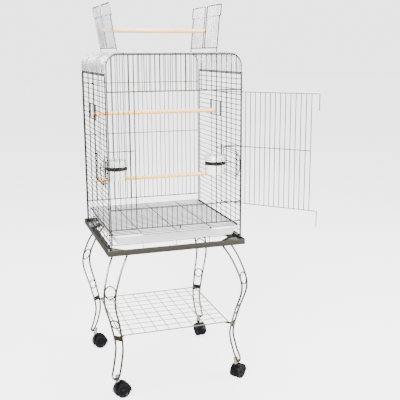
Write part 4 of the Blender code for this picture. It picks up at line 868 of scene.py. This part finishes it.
def dowel(name, body, start, end, grooves):
    """A turned dowel along X with eased ends and a shallow groove round it at each given place."""
    first, last = start[0], end
    soft = DOWEL_EASE * ROUND_SHARE
    waist = PERCH_RADIUS - GROOVE_DEEP
    profile = [(PERCH_RADIUS - DOWEL_EASE, 0.0), (PERCH_RADIUS - soft, soft), (PERCH_RADIUS, DOWEL_EASE)]
    for place in sorted(grooves):
        along = place - first
        profile += [(PERCH_RADIUS, along - GROOVE_HALF), (waist, along - GROOVE_HALF / 2),
                    (waist, along + GROOVE_HALF / 2), (PERCH_RADIUS, along + GROOVE_HALF)]
    long = last - first
    profile += [(PERCH_RADIUS, long - DOWEL_EASE), (PERCH_RADIUS - soft, long - soft),
                (PERCH_RADIUS - DOWEL_EASE, long)]
    solid(f"{name}_dowel", "perch_wood", body,
          lambda draft: lathe(draft, (0, 0, 0), profile, axis="X"), at=start, nodes=[name])


def perches():
    """The play perch in the slots of the open flaps, and the two perches inside the cage."""
    height = ROOF_TOP + PLAY_PERCH_RISE
    leans = {label: PLAY_PERCH_RISE * sin(radians(FLAP_OPEN[label] - 90)) for label in FLAP_OPEN}
    left, right = -FLAP_HINGE - leans["left"], FLAP_HINGE + leans["right"]
    dowel("play_perch", "play_perch", (left - PLAY_PERCH_OVER, 0, height), right + PLAY_PERCH_OVER, ())
    end = HALF_WIDE - LAYER - SQUARE_BAR / 2 - CLEAR
    for name, (y, z) in PERCHES.items():
        dowel(name, "cage", (-end, y, z), end, (-end + GROOVE_IN, end - GROOVE_IN))


# Front door

def front_door():
    """The front door, drawn shut and turned open about the bar that its rings go round."""
    away = FRAME / 2 + RUN + THIN / 2
    low, high = DOORWAY_LOW + DOOR_LOWER, DOORWAY_HIGH - DOOR_LOWER

    def at(out, z, off=0.0):
        return Vector((-out, -away - off, z))

    frame_runs, bars, welds = [], [], []
    for z in (low, high):
        hook = [at(ring_radius(THIN), z), at(DOOR_LONG, z), at(DOOR_LONG, z - HOOK_DOWN)]
        frame_runs.append((rounded(hook, SMALL_BEND), THIN))
        frame_runs.append(hinge_ring((0, 0, z), "Z", THIN))
    for number in range(1, DOOR_GAPS + 1):
        out = number * PITCH
        thick = THIN if number in (1, DOOR_GAPS) else BAR
        bars.append(([at(out, low), at(out, high)], thick))
        welds += [at(out, low, THIN / 4), at(out, high, THIN / 4), at(out, DOOR_STAY, BAR / 2)]
    off = SQUARE_BAR + CLEAR
    bars.append(([at(PITCH, DOOR_STAY, off), at(DOOR_GAPS * PITCH, DOOR_STAY, off)], BAR))
    where = {"at": (DOOR_X, -HALF_DEEP, 0), "turn": (0, 0, radians(DOOR_OPEN))}
    wires("front_door_frame", "cage_wire", "front_door", frame_runs, fine=3, nodes=["front_door"], **where)
    wires("front_door_bars", "cage_wire", "front_door", bars, **where)
    beads("front_door_welds", "cage_wire", "front_door", welds, **where)


# Feeders

def feeder_door(label, side):
    """A small door of level bars on two rings, with a bow handle at its free edge.

    It ends half a row inside the wires above and below its opening.
    """
    plane = side * FEEDER_PLANE
    low, high = row_height(FEEDER_ROW + 0.5), row_height(FEEDER_ROW + FEEDER_ROWS - 0.5)
    front = FEEDER_FRONT + FEEDER_PLAY
    back = FEEDER_BACK - ring_radius(THIN) - RUN
    hinge = side * (HALF_WIDE - LAYER)
    loop = rounded([(plane, front, low), (plane, back, low), (plane, back, high), (plane, front, high)],
                   SMALL_BEND, closed=True)
    frame_runs = [(loop, THIN, True)]
    for z in (low, high):
        frame_runs.append(([(plane, back, z), (plane, FEEDER_BACK, z)], LINK))
        frame_runs.append(hinge_ring((hinge, FEEDER_BACK, z), "Z", THIN))
    for row in range(1, FEEDER_ROWS):
        z = row_height(FEEDER_ROW + row)
        frame_runs.append(([(plane, front, z), (plane, back, z)], BAR))
    middle, tall = (low + high) / 2, (high - low) / 2 - 2 * THIN
    angles = [pi * step / HANDLE_STEPS for step in range(HANDLE_STEPS + 1)]
    bow = [(plane + side * HANDLE_OUT * sin(angle), front, middle - tall * cos(angle)) for angle in angles]
    frame_runs.append((bow, BAR))
    # The feeder doors take the near-black copy of the wire chrome: painted shade
    wires(f"{label}_feeder_door_wires", "cage_wire", f"{label}_feeder", frame_runs,
          nodes=[f"{label}_feeder_door"], material=PAINTED_DEEP_SHADE_WIRE)


def cup_middle(side):
    """The floor point under the middle of a cup."""
    return Vector((side * (HALF_WIDE - CUP_IN), CUP_BACK, 0))


def cup_holder(label, side):
    """The dark band that holds the cup, its two arms to the feeder door and the cradle below."""
    middle = cup_middle(side)
    low, high = BAND_MIDDLE - BAND_HIGH / 2, BAND_MIDDLE + BAND_HIGH / 2
    outer = BAND_INNER + BAND_THICK
    soft = BAND_THICK / 4
    band = [(outer - soft, low), (outer, low + soft), (outer, high - soft), (outer - soft, high),
            (BAND_INNER + soft, high), (BAND_INNER, high - soft), (BAND_INNER, low + soft),
            (BAND_INNER + soft, low)]
    solid(f"{label}_cup_band", "band_metal", f"{label}_feeder",
          lambda draft: lathe(draft, middle, band, closed=True), nodes=[f"{label}_cup_holder"])
    door = side * (FEEDER_PLANE - BAR / 2)
    under = low - CUP_DEEP + BAND_HIGH - THIN
    reach = (BAND_INNER + outer) / 2
    near, far = middle.x - reach, middle.x + reach
    cradle = rounded([(near, CUP_BACK, BAND_MIDDLE), (near, CUP_BACK, under),
                      (far, CUP_BACK, under), (far, CUP_BACK, BAND_MIDDLE)], WIRE_BEND)
    runs = [(cradle, BAND_THICK - CLEAR)]
    for way in (-1, 1):
        y = CUP_BACK + way * ARM_APART / 2
        start = middle.x + side * (sqrt(outer ** 2 - (ARM_APART / 2) ** 2) - BAND_THICK / 2)
        runs.append(([(start, y, BAND_MIDDLE), (door, y, BAND_MIDDLE)], THIN))
    wires(f"{label}_cup_cradle", "band_metal", f"{label}_feeder", runs)


def cup(label, side):
    """A moulded cup with a foot ring, a rounded inside and a flat lip that rests on the band."""
    rim = BAND_MIDDLE + BAND_HIGH / 2 + CLEAR
    foot = rim - CUP_DEEP
    top = rim + CUP_WALL
    lip = CUP_RADIUS + CUP_FLANGE
    inside = CUP_RADIUS - CUP_WALL
    soft = CUP_WALL / 4
    out, down = CUP_FILLET
    profile = [(CUP_FOOT - inward, foot + up) for inward, up in CUP_RING]
    profile += [(CUP_RADIUS - CUP_TAPER, rim - CUP_NECK), (CUP_RADIUS, rim - down), (CUP_RADIUS + out, rim),
                (lip - soft, rim), (lip, rim + soft), (lip, top - soft), (lip - soft, top),
                (inside + CUP_EASE, top), (inside, top - CUP_EASE), (inside - CUP_TAPER, top - CUP_NECK)]
    profile += [(CUP_FOOT - CUP_WALL + past, foot + CUP_WALL + up) for past, up in CUP_INSIDE]
    solid(f"{label}_cup_bowl", "cup_plastic", f"{label}_cup",
          lambda draft: lathe(draft, cup_middle(side), profile, sides=48), nodes=[f"{label}_cup"])


def cup_hood(label, side):
    """The clear sleeve on the cup's lip that keeps the seed in."""
    low = BAND_MIDDLE + BAND_HIGH / 2 + CUP_WALL + 2 * CLEAR
    outer = CUP_RADIUS + CUP_FLANGE - CLEAR
    soft = CUP_WALL / 3
    high, lean = low + HOOD_RISE, outer - HOOD_LEAN
    belly, half_way = HOOD_LEAN * HOOD_BELLY, low + HOOD_RISE / 2
    profile = [(outer - soft, low), (outer, low + soft), (outer - belly, half_way), (lean, high - soft),
               (lean - soft, high), (lean - CUP_WALL + soft, high), (lean - CUP_WALL, high - soft),
               (outer - CUP_WALL - belly, half_way), (outer - CUP_WALL, low + soft),
               (outer - CUP_WALL + soft, low)]
    solid(f"{label}_cup_sleeve", "hood_plastic", f"{label}_cup",
          lambda draft: lathe(draft, cup_middle(side), profile, sides=48, closed=True),
          nodes=[f"{label}_cup_hood"])


# Base frame and stand

def base_frame():
    """A folded frame with an upright rim, an inner ledge and a gusset in each corner."""
    profile = ((0, 0), (0, BASE_HEIGHT), (SHEET, BASE_HEIGHT), (SHEET, SHEET), (LEDGE, SHEET), (LEDGE, 0))
    corners = ((1, 1), (-1, 1), (-1, -1), (1, -1))

    def rim(draft):
        rings = []
        for sx, sy in corners:
            rings.append([(sx * (BASE_WIDE / 2 - inward), sy * (BASE_DEEP / 2 - inward), BASE_LOW + up)
                          for inward, up in profile])
        skin(draft, rings, True)

    def gussets(draft):
        for sx, sy in corners:
            x, y = BASE_WIDE / 2 - SHEET / 2, BASE_DEEP / 2 - SHEET / 2
            outline = [(sx * x, sy * y), (sx * (x - GUSSET), sy * y), (sx * x, sy * (y - GUSSET))]
            slab(draft, outline, BASE_LOW + GUSSET_IN, BASE_LOW + SHEET - GUSSET_IN)

    solid("base_rim", "base_paint", "cage", rim, ease=FOLD_EASE, nodes=["base_frame"])
    solid("base_gussets", "base_paint", "cage", gussets, ease=FINE_EASE)


def bolt_head(draft, middle):
    """A low domed screw head standing on a plate."""
    profile = [(BOLT_RADIUS * out, BOLT_RISE * up) for out, up in BOLT_DOME]
    lathe(draft, middle, profile, sides=20)


def corner_plate(corner, sx, sy):
    """A bright five-sided plate on the base frame's ledge, with three screw heads."""
    x = BASE_WIDE / 2 - SHEET - CLEAR
    y = BASE_DEEP / 2 - SHEET - CLEAR
    cut = PLATE_LEG / 4
    seat_height = PLATE_LOW + BOLT_SEAT
    outline = [(sx * x, sy * y), (sx * (x - PLATE_LEG), sy * y), (sx * (x - PLATE_LEG), sy * (y - cut)),
               (sx * (x - cut), sy * (y - PLATE_LEG)), (sx * x, sy * (y - PLATE_LEG))]

    def heads(draft):
        for across, along in PLATE_BOLTS:
            bolt_head(draft, (sx * (x - PLATE_LEG * across), sy * (y - PLATE_LEG * along), seat_height))

    name = f"{corner}_corner_plate"
    solid(f"{name}_sheet", "plate_chrome", "cage",
          lambda draft: slab(draft, outline, PLATE_LOW, PLATE_LOW + PLATE), ease=PLATE_EASE, nodes=[name])
    solid(f"{name}_bolts", "plate_chrome", "cage", heads)


def reach_at(height):
    """The leg's distance from the cage's middle, on one smooth curve through the leg's points."""
    points = LEG_CURVE
    slopes = []
    for i in range(len(points)):
        below, above = points[max(i - 1, 0)], points[min(i + 1, len(points) - 1)]
        slopes.append((above[1] - below[1]) / (above[0] - below[0]))
    for i in range(len(points) - 1):
        (low, start), (high, end) = points[i], points[i + 1]
        if height <= high or i == len(points) - 2:
            span = high - low
            t = (height - low) / span
            square, cube = t * t, t * t * t
            return ((2 * cube - 3 * square + 1) * start + (cube - 2 * square + t) * span * slopes[i]
                    + (3 * square - 2 * cube) * end + (cube - square) * span * slopes[i + 1])


def spread_at(height):
    """Half the distance between a leg's two rods."""
    share = max(height - ANKLE, 0) / (LEG_TOP - ANKLE)
    return ANKLE_SPREAD + (TOP_SPREAD - ANKLE_SPREAD) * share


def down_at(height):
    """The leg's direction down its curve, taken over two short steps."""
    step = 0.001
    low, high = max(height - step, HEEL), min(height + step, LEG_TOP)
    return Vector((reach_at(low) - reach_at(high), 0, low - high)).normalized()


def leg_path():
    """Points down one rod, round the heel and up the other."""
    down = []
    for step in range(LEG_STEPS + 1):
        height = LEG_TOP + (HEEL - LEG_TOP) * step / LEG_STEPS
        down.append(Vector((reach_at(height), spread_at(height), height)))
    middle, way = Vector((reach_at(HEEL), 0, HEEL)), down_at(HEEL)
    heel = []
    for step in range(1, HEEL_STEPS):
        angle = pi * step / HEEL_STEPS
        heel.append(middle + ANKLE_SPREAD * (Vector((0, cos(angle), 0)) + way * sin(angle)))
    return down + heel + [Vector((point.x, -point.y, point.z)) for point in reversed(down)]


def leg(corner, angle):
    """A curved leg of two rods with its rings, drawn along +X and turned to its corner."""
    across = Vector((0, 1, 0))
    scrolls = []
    for height in SCROLLS:
        radius = spread_at(height) - ROD_RADIUS / 2
        middle = (reach_at(height), 0, height)
        scrolls.append((circle(middle, across, down_at(height), radius, count=32), SCROLL_WIRE, True))
    turn = (0, 0, radians(angle))
    name = f"{corner}_leg"
    wires(f"{name}_rods", "leg_chrome", "cage", [(leg_path(), ROD)], fine=4, turn=turn, nodes=[name])
    # The rings take the near-black copy of the wire chrome: painted shade
    wires(f"{name}_scrolls", "leg_chrome", "cage", scrolls, fine=4, turn=turn, material=PAINTED_DEEP_SHADE_WIRE)
    shelf_clamp(name, turn)
    stem_socket(name, turn)


def shelf_clamp(name, turn):
    """The brass block between a leg's rods, with two rivets and the tongue under the shelf's corner."""
    reach, spread = reach_at(SHELF_HEIGHT), spread_at(SHELF_HEIGHT)
    low = SHELF_HEIGHT - CLAMP_HIGH * CLAMP_LOWER
    high = low + CLAMP_HIGH * CLAMP_SHOWN
    under = SHELF_HEIGHT - FRAME / 2 - CLEAR
    start = SHELF_HALF * sqrt(2) - TONGUE_UNDER
    half = spread - CLAMP_SIDE

    def clamp(draft):
        block(draft, (reach - CLAMP_THICK / 2, -half, low), (reach + CLAMP_THICK / 2, half, high))
        block(draft, (start, -TONGUE_WIDE / 2, under - SHEET), (reach, TONGUE_WIDE / 2, under))

    def rivets(draft):
        for way in (-1, 1):
            middle = (reach + CLAMP_THICK * RIVET_IN, way * spread * RIVET_IN, SHELF_HEIGHT)
            lathe(draft, middle, RIVET_DOME, sides=16, axis="X")

    solid(f"{name}_clamp", "leg_chrome", "cage", clamp, ease=FOLD_EASE, turn=turn, material=CLAMP_BRASS)
    solid(f"{name}_rivets", "leg_chrome", "cage", rivets, turn=turn)


def stem_socket(name, turn):
    """The turned nickel socket that holds a caster's stem, and the lug that joins it to the heel."""
    low, high = SOCKET_LOW, SOCKET_LOW + SOCKET_TALL
    outer = SOCKET_BORE + SOCKET_WALL
    waist = outer - SOCKET_WAIST
    profile = [(outer - SOCKET_LIP, low), (outer, low + SOCKET_EASE), (outer, low + COLLAR_TALL),
               (waist, low + WAIST_FROM), (waist, high - WAIST_FROM), (outer, high - COLLAR_TALL),
               (outer, high - SOCKET_EASE), (outer - SOCKET_EASE, high),
               (SOCKET_BORE, high), (SOCKET_BORE, low)]
    heel = Vector((reach_at(HEEL), 0, HEEL)) + down_at(HEEL) * ANKLE_SPREAD
    half = ROD_RADIUS + CLEAR

    def lug(draft):
        block(draft, (STEM_REACH + SOCKET_BORE + SOCKET_WALL / 2, -2 * half, heel.z - half),
              (heel.x, 2 * half, heel.z + half))

    solid(f"{name}_socket", "leg_chrome", "cage",
          lambda draft: lathe(draft, (STEM_REACH, 0, 0), profile, sides=32, closed=True), turn=turn,
          material=NICKEL)
    solid(f"{name}_lug", "leg_chrome", "cage", lug, ease=LUG_EASE, turn=turn)


def lower_shelf():
    """The wire shelf between the legs: a loop with square cells inside it."""
    half, height = SHELF_HALF, SHELF_HEIGHT
    loop = rounded([(-half, -half, height), (half, -half, height),
                    (half, half, height), (-half, half, height)], WIRE_BEND, closed=True)
    cell = 2 * half / SHELF_CELLS
    places = [-half + number * cell for number in range(1, SHELF_CELLS)]
    runs = []
    for place in places:
        runs.append(([(place, -half, height - LAYER), (place, half, height - LAYER)], THIN))
        runs.append(([(-half, place, height + LAYER), (half, place, height + LAYER)], THIN))
    wires("lower_shelf_loop", "shelf_coat", "cage", [(loop, FRAME, True)], fine=3, nodes=["lower_shelf"])
    wires("lower_shelf_grid", "shelf_coat", "cage", runs)
    beads("lower_shelf_welds", "shelf_coat", "cage", [(x, y, height) for x in places for y in places])


# Casters

def caster(corner, angle):
    """A swivelling hood on its stem, with a wheel on each side of the web."""
    place = Vector((STEM_REACH * cos(radians(angle)), STEM_REACH * sin(radians(angle)), 0))
    where = {"at": place, "turn": (0, 0, radians(CASTER_TURNS[corner]))}
    body = f"{corner}_caster"
    inner = WHEEL_RADIUS + HOOD_GAP
    outer = inner + HOOD_WALL
    half = WEB / 2 + CLEAR + WHEEL_WIDE + CLEAR
    soft, softer = HOOD_SOFT, HOOD_SOFT * ROUND_SHARE
    section = [(inner, -half), (outer - soft, -half), (outer - softer, -half + softer), (outer, -half + soft),
               (outer, half - soft), (outer - softer, half - softer), (outer - soft, half), (inner, half)]
    angles = [radians(HOOD_FROM + (HOOD_TO - HOOD_FROM) * step / HOOD_STEPS)
              for step in range(HOOD_STEPS + 1)]

    def on_hood(radius, turned):
        return TRAIL + radius * cos(turned), WHEEL_RADIUS + radius * sin(turned)

    def hood(draft):
        rings = []
        for turned in angles:
            places = [(on_hood(radius, turned), y) for radius, y in section]
            rings.append([(x, y, z) for (x, z), y in places])
        skin(draft, rings)

    def web(draft):
        edge = (inner + outer) / 2
        slab(draft, [on_hood(edge, turned) for turned in angles], -WEB / 2, WEB / 2, "Y")
        block(draft, (-BOSS_RADIUS, -WEB / 2 + CLEAR, WHEEL_RADIUS),
              (BOSS_RADIUS, WEB / 2 - CLEAR, BOSS_LOW + SHEET))

    def collar(draft):
        top = SOCKET_LOW - CLEAR
        profile = [(BOSS_RADIUS - TURNED_EASE, BOSS_LOW), (BOSS_RADIUS, BOSS_LOW + TURNED_EASE),
                   (BOSS_RADIUS, top - TURNED_EASE), (BOSS_RADIUS - TURNED_EASE, top)]
        lathe(draft, (0, 0, 0), profile, sides=32)

    def stem(draft):
        profile = [(STEM_RADIUS, SOCKET_LOW - CLEAR - STEM_SUNK), (STEM_RADIUS, STEM_TOP - TURNED_EASE),
                   (STEM_RADIUS - TURNED_EASE, STEM_TOP)]
        lathe(draft, (0, 0, 0), profile, sides=24)

    solid(f"{body}_hood_shell", "caster_plastic", body, hood, nodes=[f"{corner}_caster_hood"], **where)
    solid(f"{body}_web", "caster_plastic", body, web, **where)
    solid(f"{body}_collar", "caster_plastic", body, collar, **where)
    solid(f"{body}_stem", "caster_plastic", body, stem, material=NICKEL, **where)
    for way, label in ((-1, "a"), (1, "b")):
        wheel(corner, way, label, where)


def wheel(corner, way, label, where):
    """One wheel beside the caster's web: a dark tread, a dished disc and the axle's end in its middle."""
    axle = Vector((TRAIL, 0, WHEEL_RADIUS))
    near, far = way * (WEB / 2 + CLEAR), way * (WEB / 2 + CLEAR + WHEEL_WIDE)
    middle = (near + far) / 2
    tread = [(WHEEL_RADIUS - inward, near + way * along) for inward, along in TREAD_NEAR]
    tread += [(WHEEL_RADIUS - inward, middle + way * along) for inward, along in TREAD_GROOVE]
    tread += [(WHEEL_RADIUS - inward, far - way * along) for inward, along in TREAD_FAR]
    start = near + way * DISC_IN
    disc = [(DISC_BORE, start), (WHEEL_RADIUS - DISC_RIM[0][0], start)]
    disc += [(WHEEL_RADIUS - inward, far - way * along) for inward, along in DISC_RIM]
    disc += [(radius, far - way * along) for radius, along in DISC_HUB]
    cap = [(AXLE_END[0][0], near - way * AXLE_IN)]
    cap += [(radius, far + way * along) for radius, along in AXLE_END]
    name, body = f"{corner}_wheel_{label}", f"{corner}_caster"
    solid(f"{name}_tread", "caster_plastic", name,
          lambda draft: lathe(draft, axle, tread, sides=48, axis="Y", closed=True),
          nodes=[name], material=TYRE, **where)
    solid(f"{name}_disc", "caster_plastic", name,
          lambda draft: lathe(draft, axle, disc, sides=40, axis="Y", closed=True), **where)
    solid(f"{body}_axle_{label}", "caster_plastic", body,
          lambda draft: lathe(draft, axle, cap, sides=20, axis="Y"), **where)


# Tray, rack, grate and latch

def tray_rack():
    """The flat wire rack that the tray slides on."""
    reach = RACK_HALF - THIN / 2 - CLEAR
    runs = [([(-reach, y, RACK_HEIGHT), (reach, y, RACK_HEIGHT)], THIN - CLEAR)
            for y in (-RACK_CROSS, 0, RACK_CROSS)]
    runs += [([(x, -reach, RACK_HEIGHT), (x, reach, RACK_HEIGHT)], THIN - CLEAR)
             for x in (-RACK_FOOT, RACK_FOOT)]
    # The rack takes the near-black copy of the wire chrome: painted shade
    wires("tray_rack_wires", "cage_wire", "cage", runs, nodes=["tray_rack"], material=PAINTED_DEEP_SHADE_WIRE)


def tray_rails():
    """Upright wire frames beside the tray, and low wires in front of the rack and behind it."""
    half = RACK_HALF
    reach = half - THIN / 2 - CLEAR
    foot = LEDGE_TOP + CLEAR
    places = (-RACK_FOOT, 0, RACK_FOOT)
    # The side frames take the lighter copy of the wire chrome: painted highlight
    for label, x in (("left", -half), ("right", half)):
        ends = rounded([(x, -half + THIN, RACK_HEIGHT), (x, -half, RACK_HEIGHT), (x, -half, RAIL_HEIGHT),
                        (x, half, RAIL_HEIGHT), (x, half, RACK_HEIGHT), (x, half - THIN, RACK_HEIGHT)],
                       SMALL_BEND)
        runs = [(ends, THIN), ([(x, -half, RACK_HEIGHT), (x, half, RACK_HEIGHT)], THIN)]
        runs += [([(x, y, foot), (x, y, RAIL_HEIGHT)], THIN - CLEAR) for y in places]
        wires(f"{label}_tray_rail_wires", "cage_wire", "cage", runs, nodes=[f"{label}_tray_rail"],
              material=PAINTED_HIGHLIGHT_WIRE)
    # The front and back wires take the near-black copy of the wire chrome: painted shade
    for label, y in (("front", -half), ("back", half)):
        runs = [([(-reach, y, RACK_HEIGHT), (reach, y, RACK_HEIGHT)], THIN)]
        runs += [([(x, y, foot), (x, y, RACK_HEIGHT)], THIN - CLEAR) for x in places]
        wires(f"{label}_tray_rail_wires", "cage_wire", "cage", runs, nodes=[f"{label}_tray_rail"],
              material=PAINTED_DEEP_SHADE_WIRE)


def tray_outline(inset, height):
    """The tray's outline at one height: a rectangle with round corners, drawn in by the inset."""
    half = RACK_HALF - THIN / 2 - RUN - inset
    front, back = -(HALF_DEEP + TRAY_FRONT) + inset, TRAY_BACK - inset
    corner = max(TRAY_CORNER - inset / 2, TRAY_CORNER_LEAST)
    points = []
    for sx, y, start in ((1, back - corner, 0), (-1, back - corner, 90), (-1, front + corner, 180),
                         (1, front + corner, 270)):
        for step in range(TRAY_CORNER_STEPS + 1):
            angle = radians(start + 90 * step / TRAY_CORNER_STEPS)
            points.append((sx * (half - corner) + corner * cos(angle), y + corner * sin(angle), height))
    return points


def tray():
    """A moulded pan with leaning sides, round corners and a rolled rim."""
    inner = TRAY_SLOPE + TRAY_WALL
    steps = [(TRAY_SLOPE + inward, TRAY_LOW + up) for inward, up in TRAY_FOOT]
    steps += [(inward, TRAY_HIGH - down) for inward, down in TRAY_RIM]
    steps += [(TRAY_WALL + inward, TRAY_HIGH - down) for inward, down in TRAY_LIP]
    steps += [(inner + inward, TRAY_LOW + TRAY_WALL + up) for inward, up in TRAY_INSIDE]
    solid("tray_pan", "tray_plastic", "tray",
          lambda draft: skin(draft, [tray_outline(inset, height) for inset, height in steps]), nodes=["tray"])


def grate():
    """The pull-out grate over the tray: a loop of cross bars on three stays, with its pull loop."""
    half, back, height = RACK_HALF - CLEAR, TRAY_BACK, GRATE_HEIGHT
    loop = rounded([(-half, -GRATE_FRONT, height), (half, -GRATE_FRONT, height),
                    (half, back, height), (-half, back, height)], WIRE_BEND, closed=True)
    gap = (GRATE_FRONT + back) / (GRATE_BARS + 1)
    runs = [(loop, THIN, True)]
    for number in range(1, GRATE_BARS + 1):
        y = -GRATE_FRONT + number * gap
        runs.append(([(-half, y, height), (half, y, height)], GRATE_BAR))
    low = height - STAY_DROP
    for place in (-GRATE_STAY, 0, GRATE_STAY):
        runs.append(([(place, -GRATE_FRONT, low), (place, back, low)], THIN))
    pull = [(-PULL_HALF, -GRATE_FRONT, low), (-PULL_HALF, -PULL_FRONT, low), (PULL_HALF, -PULL_FRONT, low),
            (PULL_HALF, -GRATE_FRONT, low)]
    runs.append((rounded(pull, SMALL_BEND), BAR))
    # The grate takes the near-black copy of the wire chrome: painted shade
    wires("grate_wires", "cage_wire", "grate", runs, nodes=["grate"], material=PAINTED_DEEP_SHADE_WIRE)


def tray_latch():
    """A small drop latch on a ring round the front panel's lowest wire."""
    x = PITCH / 2
    front = -HALF_DEEP - ring_radius(FRAME)
    thick = RING_WIRE / 2
    wires("tray_latch_ring", "cage_wire", "tray_latch", [hinge_ring((x, -HALF_DEEP, FRONT_LOW), "X", FRAME)],
          nodes=["tray_latch"])
    solid("tray_latch_tongue", "cage_wire", "tray_latch",
          lambda draft: block(draft, (x - LATCH_WIDE / 2, front - thick, FRONT_LOW - LATCH_DROP),
                              (x + LATCH_WIDE / 2, front + thick, FRONT_LOW + RING_WIRE)), ease=FINE_EASE)


# Studio

def floor():
    """A plain pale floor, which isn't part of the object."""
    draft = bmesh.new()
    bmesh.ops.create_grid(draft, x_segments=4, y_segments=4, size=FLOOR_SIZE)
    mesh = bpy.data.meshes.new("studio_floor")
    draft.to_mesh(mesh)
    draft.free()
    made = bpy.data.objects.new("studio_floor", mesh)
    bpy.context.scene.collection.objects.link(made)
    pale = bpy.data.materials.new("studio_floor_white")
    pale.use_nodes = True
    shader = pale.node_tree.nodes["Principled BSDF"]
    shader.inputs["Base Color"].default_value = (*FLOOR_TONE, 1)
    shader.inputs["Roughness"].default_value = FLOOR_ROUGH
    shader.inputs["Emission Color"].default_value = (1.0, 1.0, 1.0, 1)
    rays = node(pale.node_tree, "ShaderNodeLightPath")
    glow = maths(pale.node_tree, "MULTIPLY", rays.outputs["Is Camera Ray"], FLOOR_GLOW)
    pale.node_tree.links.new(glow, shader.inputs["Emission Strength"])
    mesh.materials.append(pale)


def lamp(name, place, size, power):
    """A square soft lamp that shines towards the middle of the cage."""
    light = bpy.data.lights.new(name, "AREA")
    light.size = size
    light.energy = power
    made = bpy.data.objects.new(name, light)
    bpy.context.scene.collection.objects.link(made)
    made.location = CAGE + Vector(place)
    made.rotation_euler = (Vector(place) - Vector(LAMP_AIM)).to_track_quat("Z", "Y").to_euler()


def studio():
    """White surroundings for the eye, with a softer sky for the shading and three large soft lamps."""
    world = bpy.data.worlds.new("studio_white")
    bpy.context.scene.world = world
    world.use_nodes = True
    tree = world.node_tree
    sky = tree.nodes["Background"]
    sky.inputs["Color"].default_value = (1.0, 1.0, 1.0, 1)
    sky.inputs["Strength"].default_value = SKY
    white = node(tree, "ShaderNodeBackground")
    white.inputs["Strength"].default_value = BACKDROP
    rays = node(tree, "ShaderNodeLightPath")
    mix = node(tree, "ShaderNodeMixShader")
    tree.links.new(rays.outputs["Is Camera Ray"], mix.inputs[0])
    tree.links.new(sky.outputs[0], mix.inputs[1])
    tree.links.new(white.outputs[0], mix.inputs[2])
    tree.links.new(mix.outputs[0], tree.nodes["World Output"].inputs["Surface"])
    for name, (place, size, power) in LAMPS.items():
        lamp(name, place, size, power)
    floor()


def camera():
    """The pinhole camera that was fitted to the photograph."""
    lens = bpy.data.cameras.new("photo_camera")
    lens.lens = LENS
    lens.sensor_width = SENSOR
    made = bpy.data.objects.new("photo_camera", lens)
    bpy.context.scene.collection.objects.link(made)
    turn = (Matrix.Rotation(-radians(EYE_YAW), 4, "Z") @ Matrix.Rotation(pi / 2 - radians(EYE_DOWN), 4, "X")
            @ Matrix.Rotation(radians(EYE_ROLL), 4, "Z"))
    made.matrix_world = Matrix.Translation(CAGE + Vector(EYE)) @ turn
    bpy.context.scene.camera = made


def build():
    """Draws every piece, from the floor up."""
    camera()
    studio()
    base_frame()
    for corner, (sx, sy, angle) in CORNERS.items():
        corner_plate(corner, sx, sy)
        leg(corner, angle)
        caster(corner, angle)
    lower_shelf()
    tray_rack()
    tray_rails()
    tray()
    grate()
    tray_latch()
    front_panel()
    back_panel()
    roof()
    perches()
    front_door()
    for label, side in (("left", -1), ("right", 1)):
        side_wall(label, side)
        perch_bracket(label, side)
        flap(label, side)
        feeder_door(label, side)
        cup_holder(label, side)
        cup(label, side)
        cup_hood(label, side)


build()
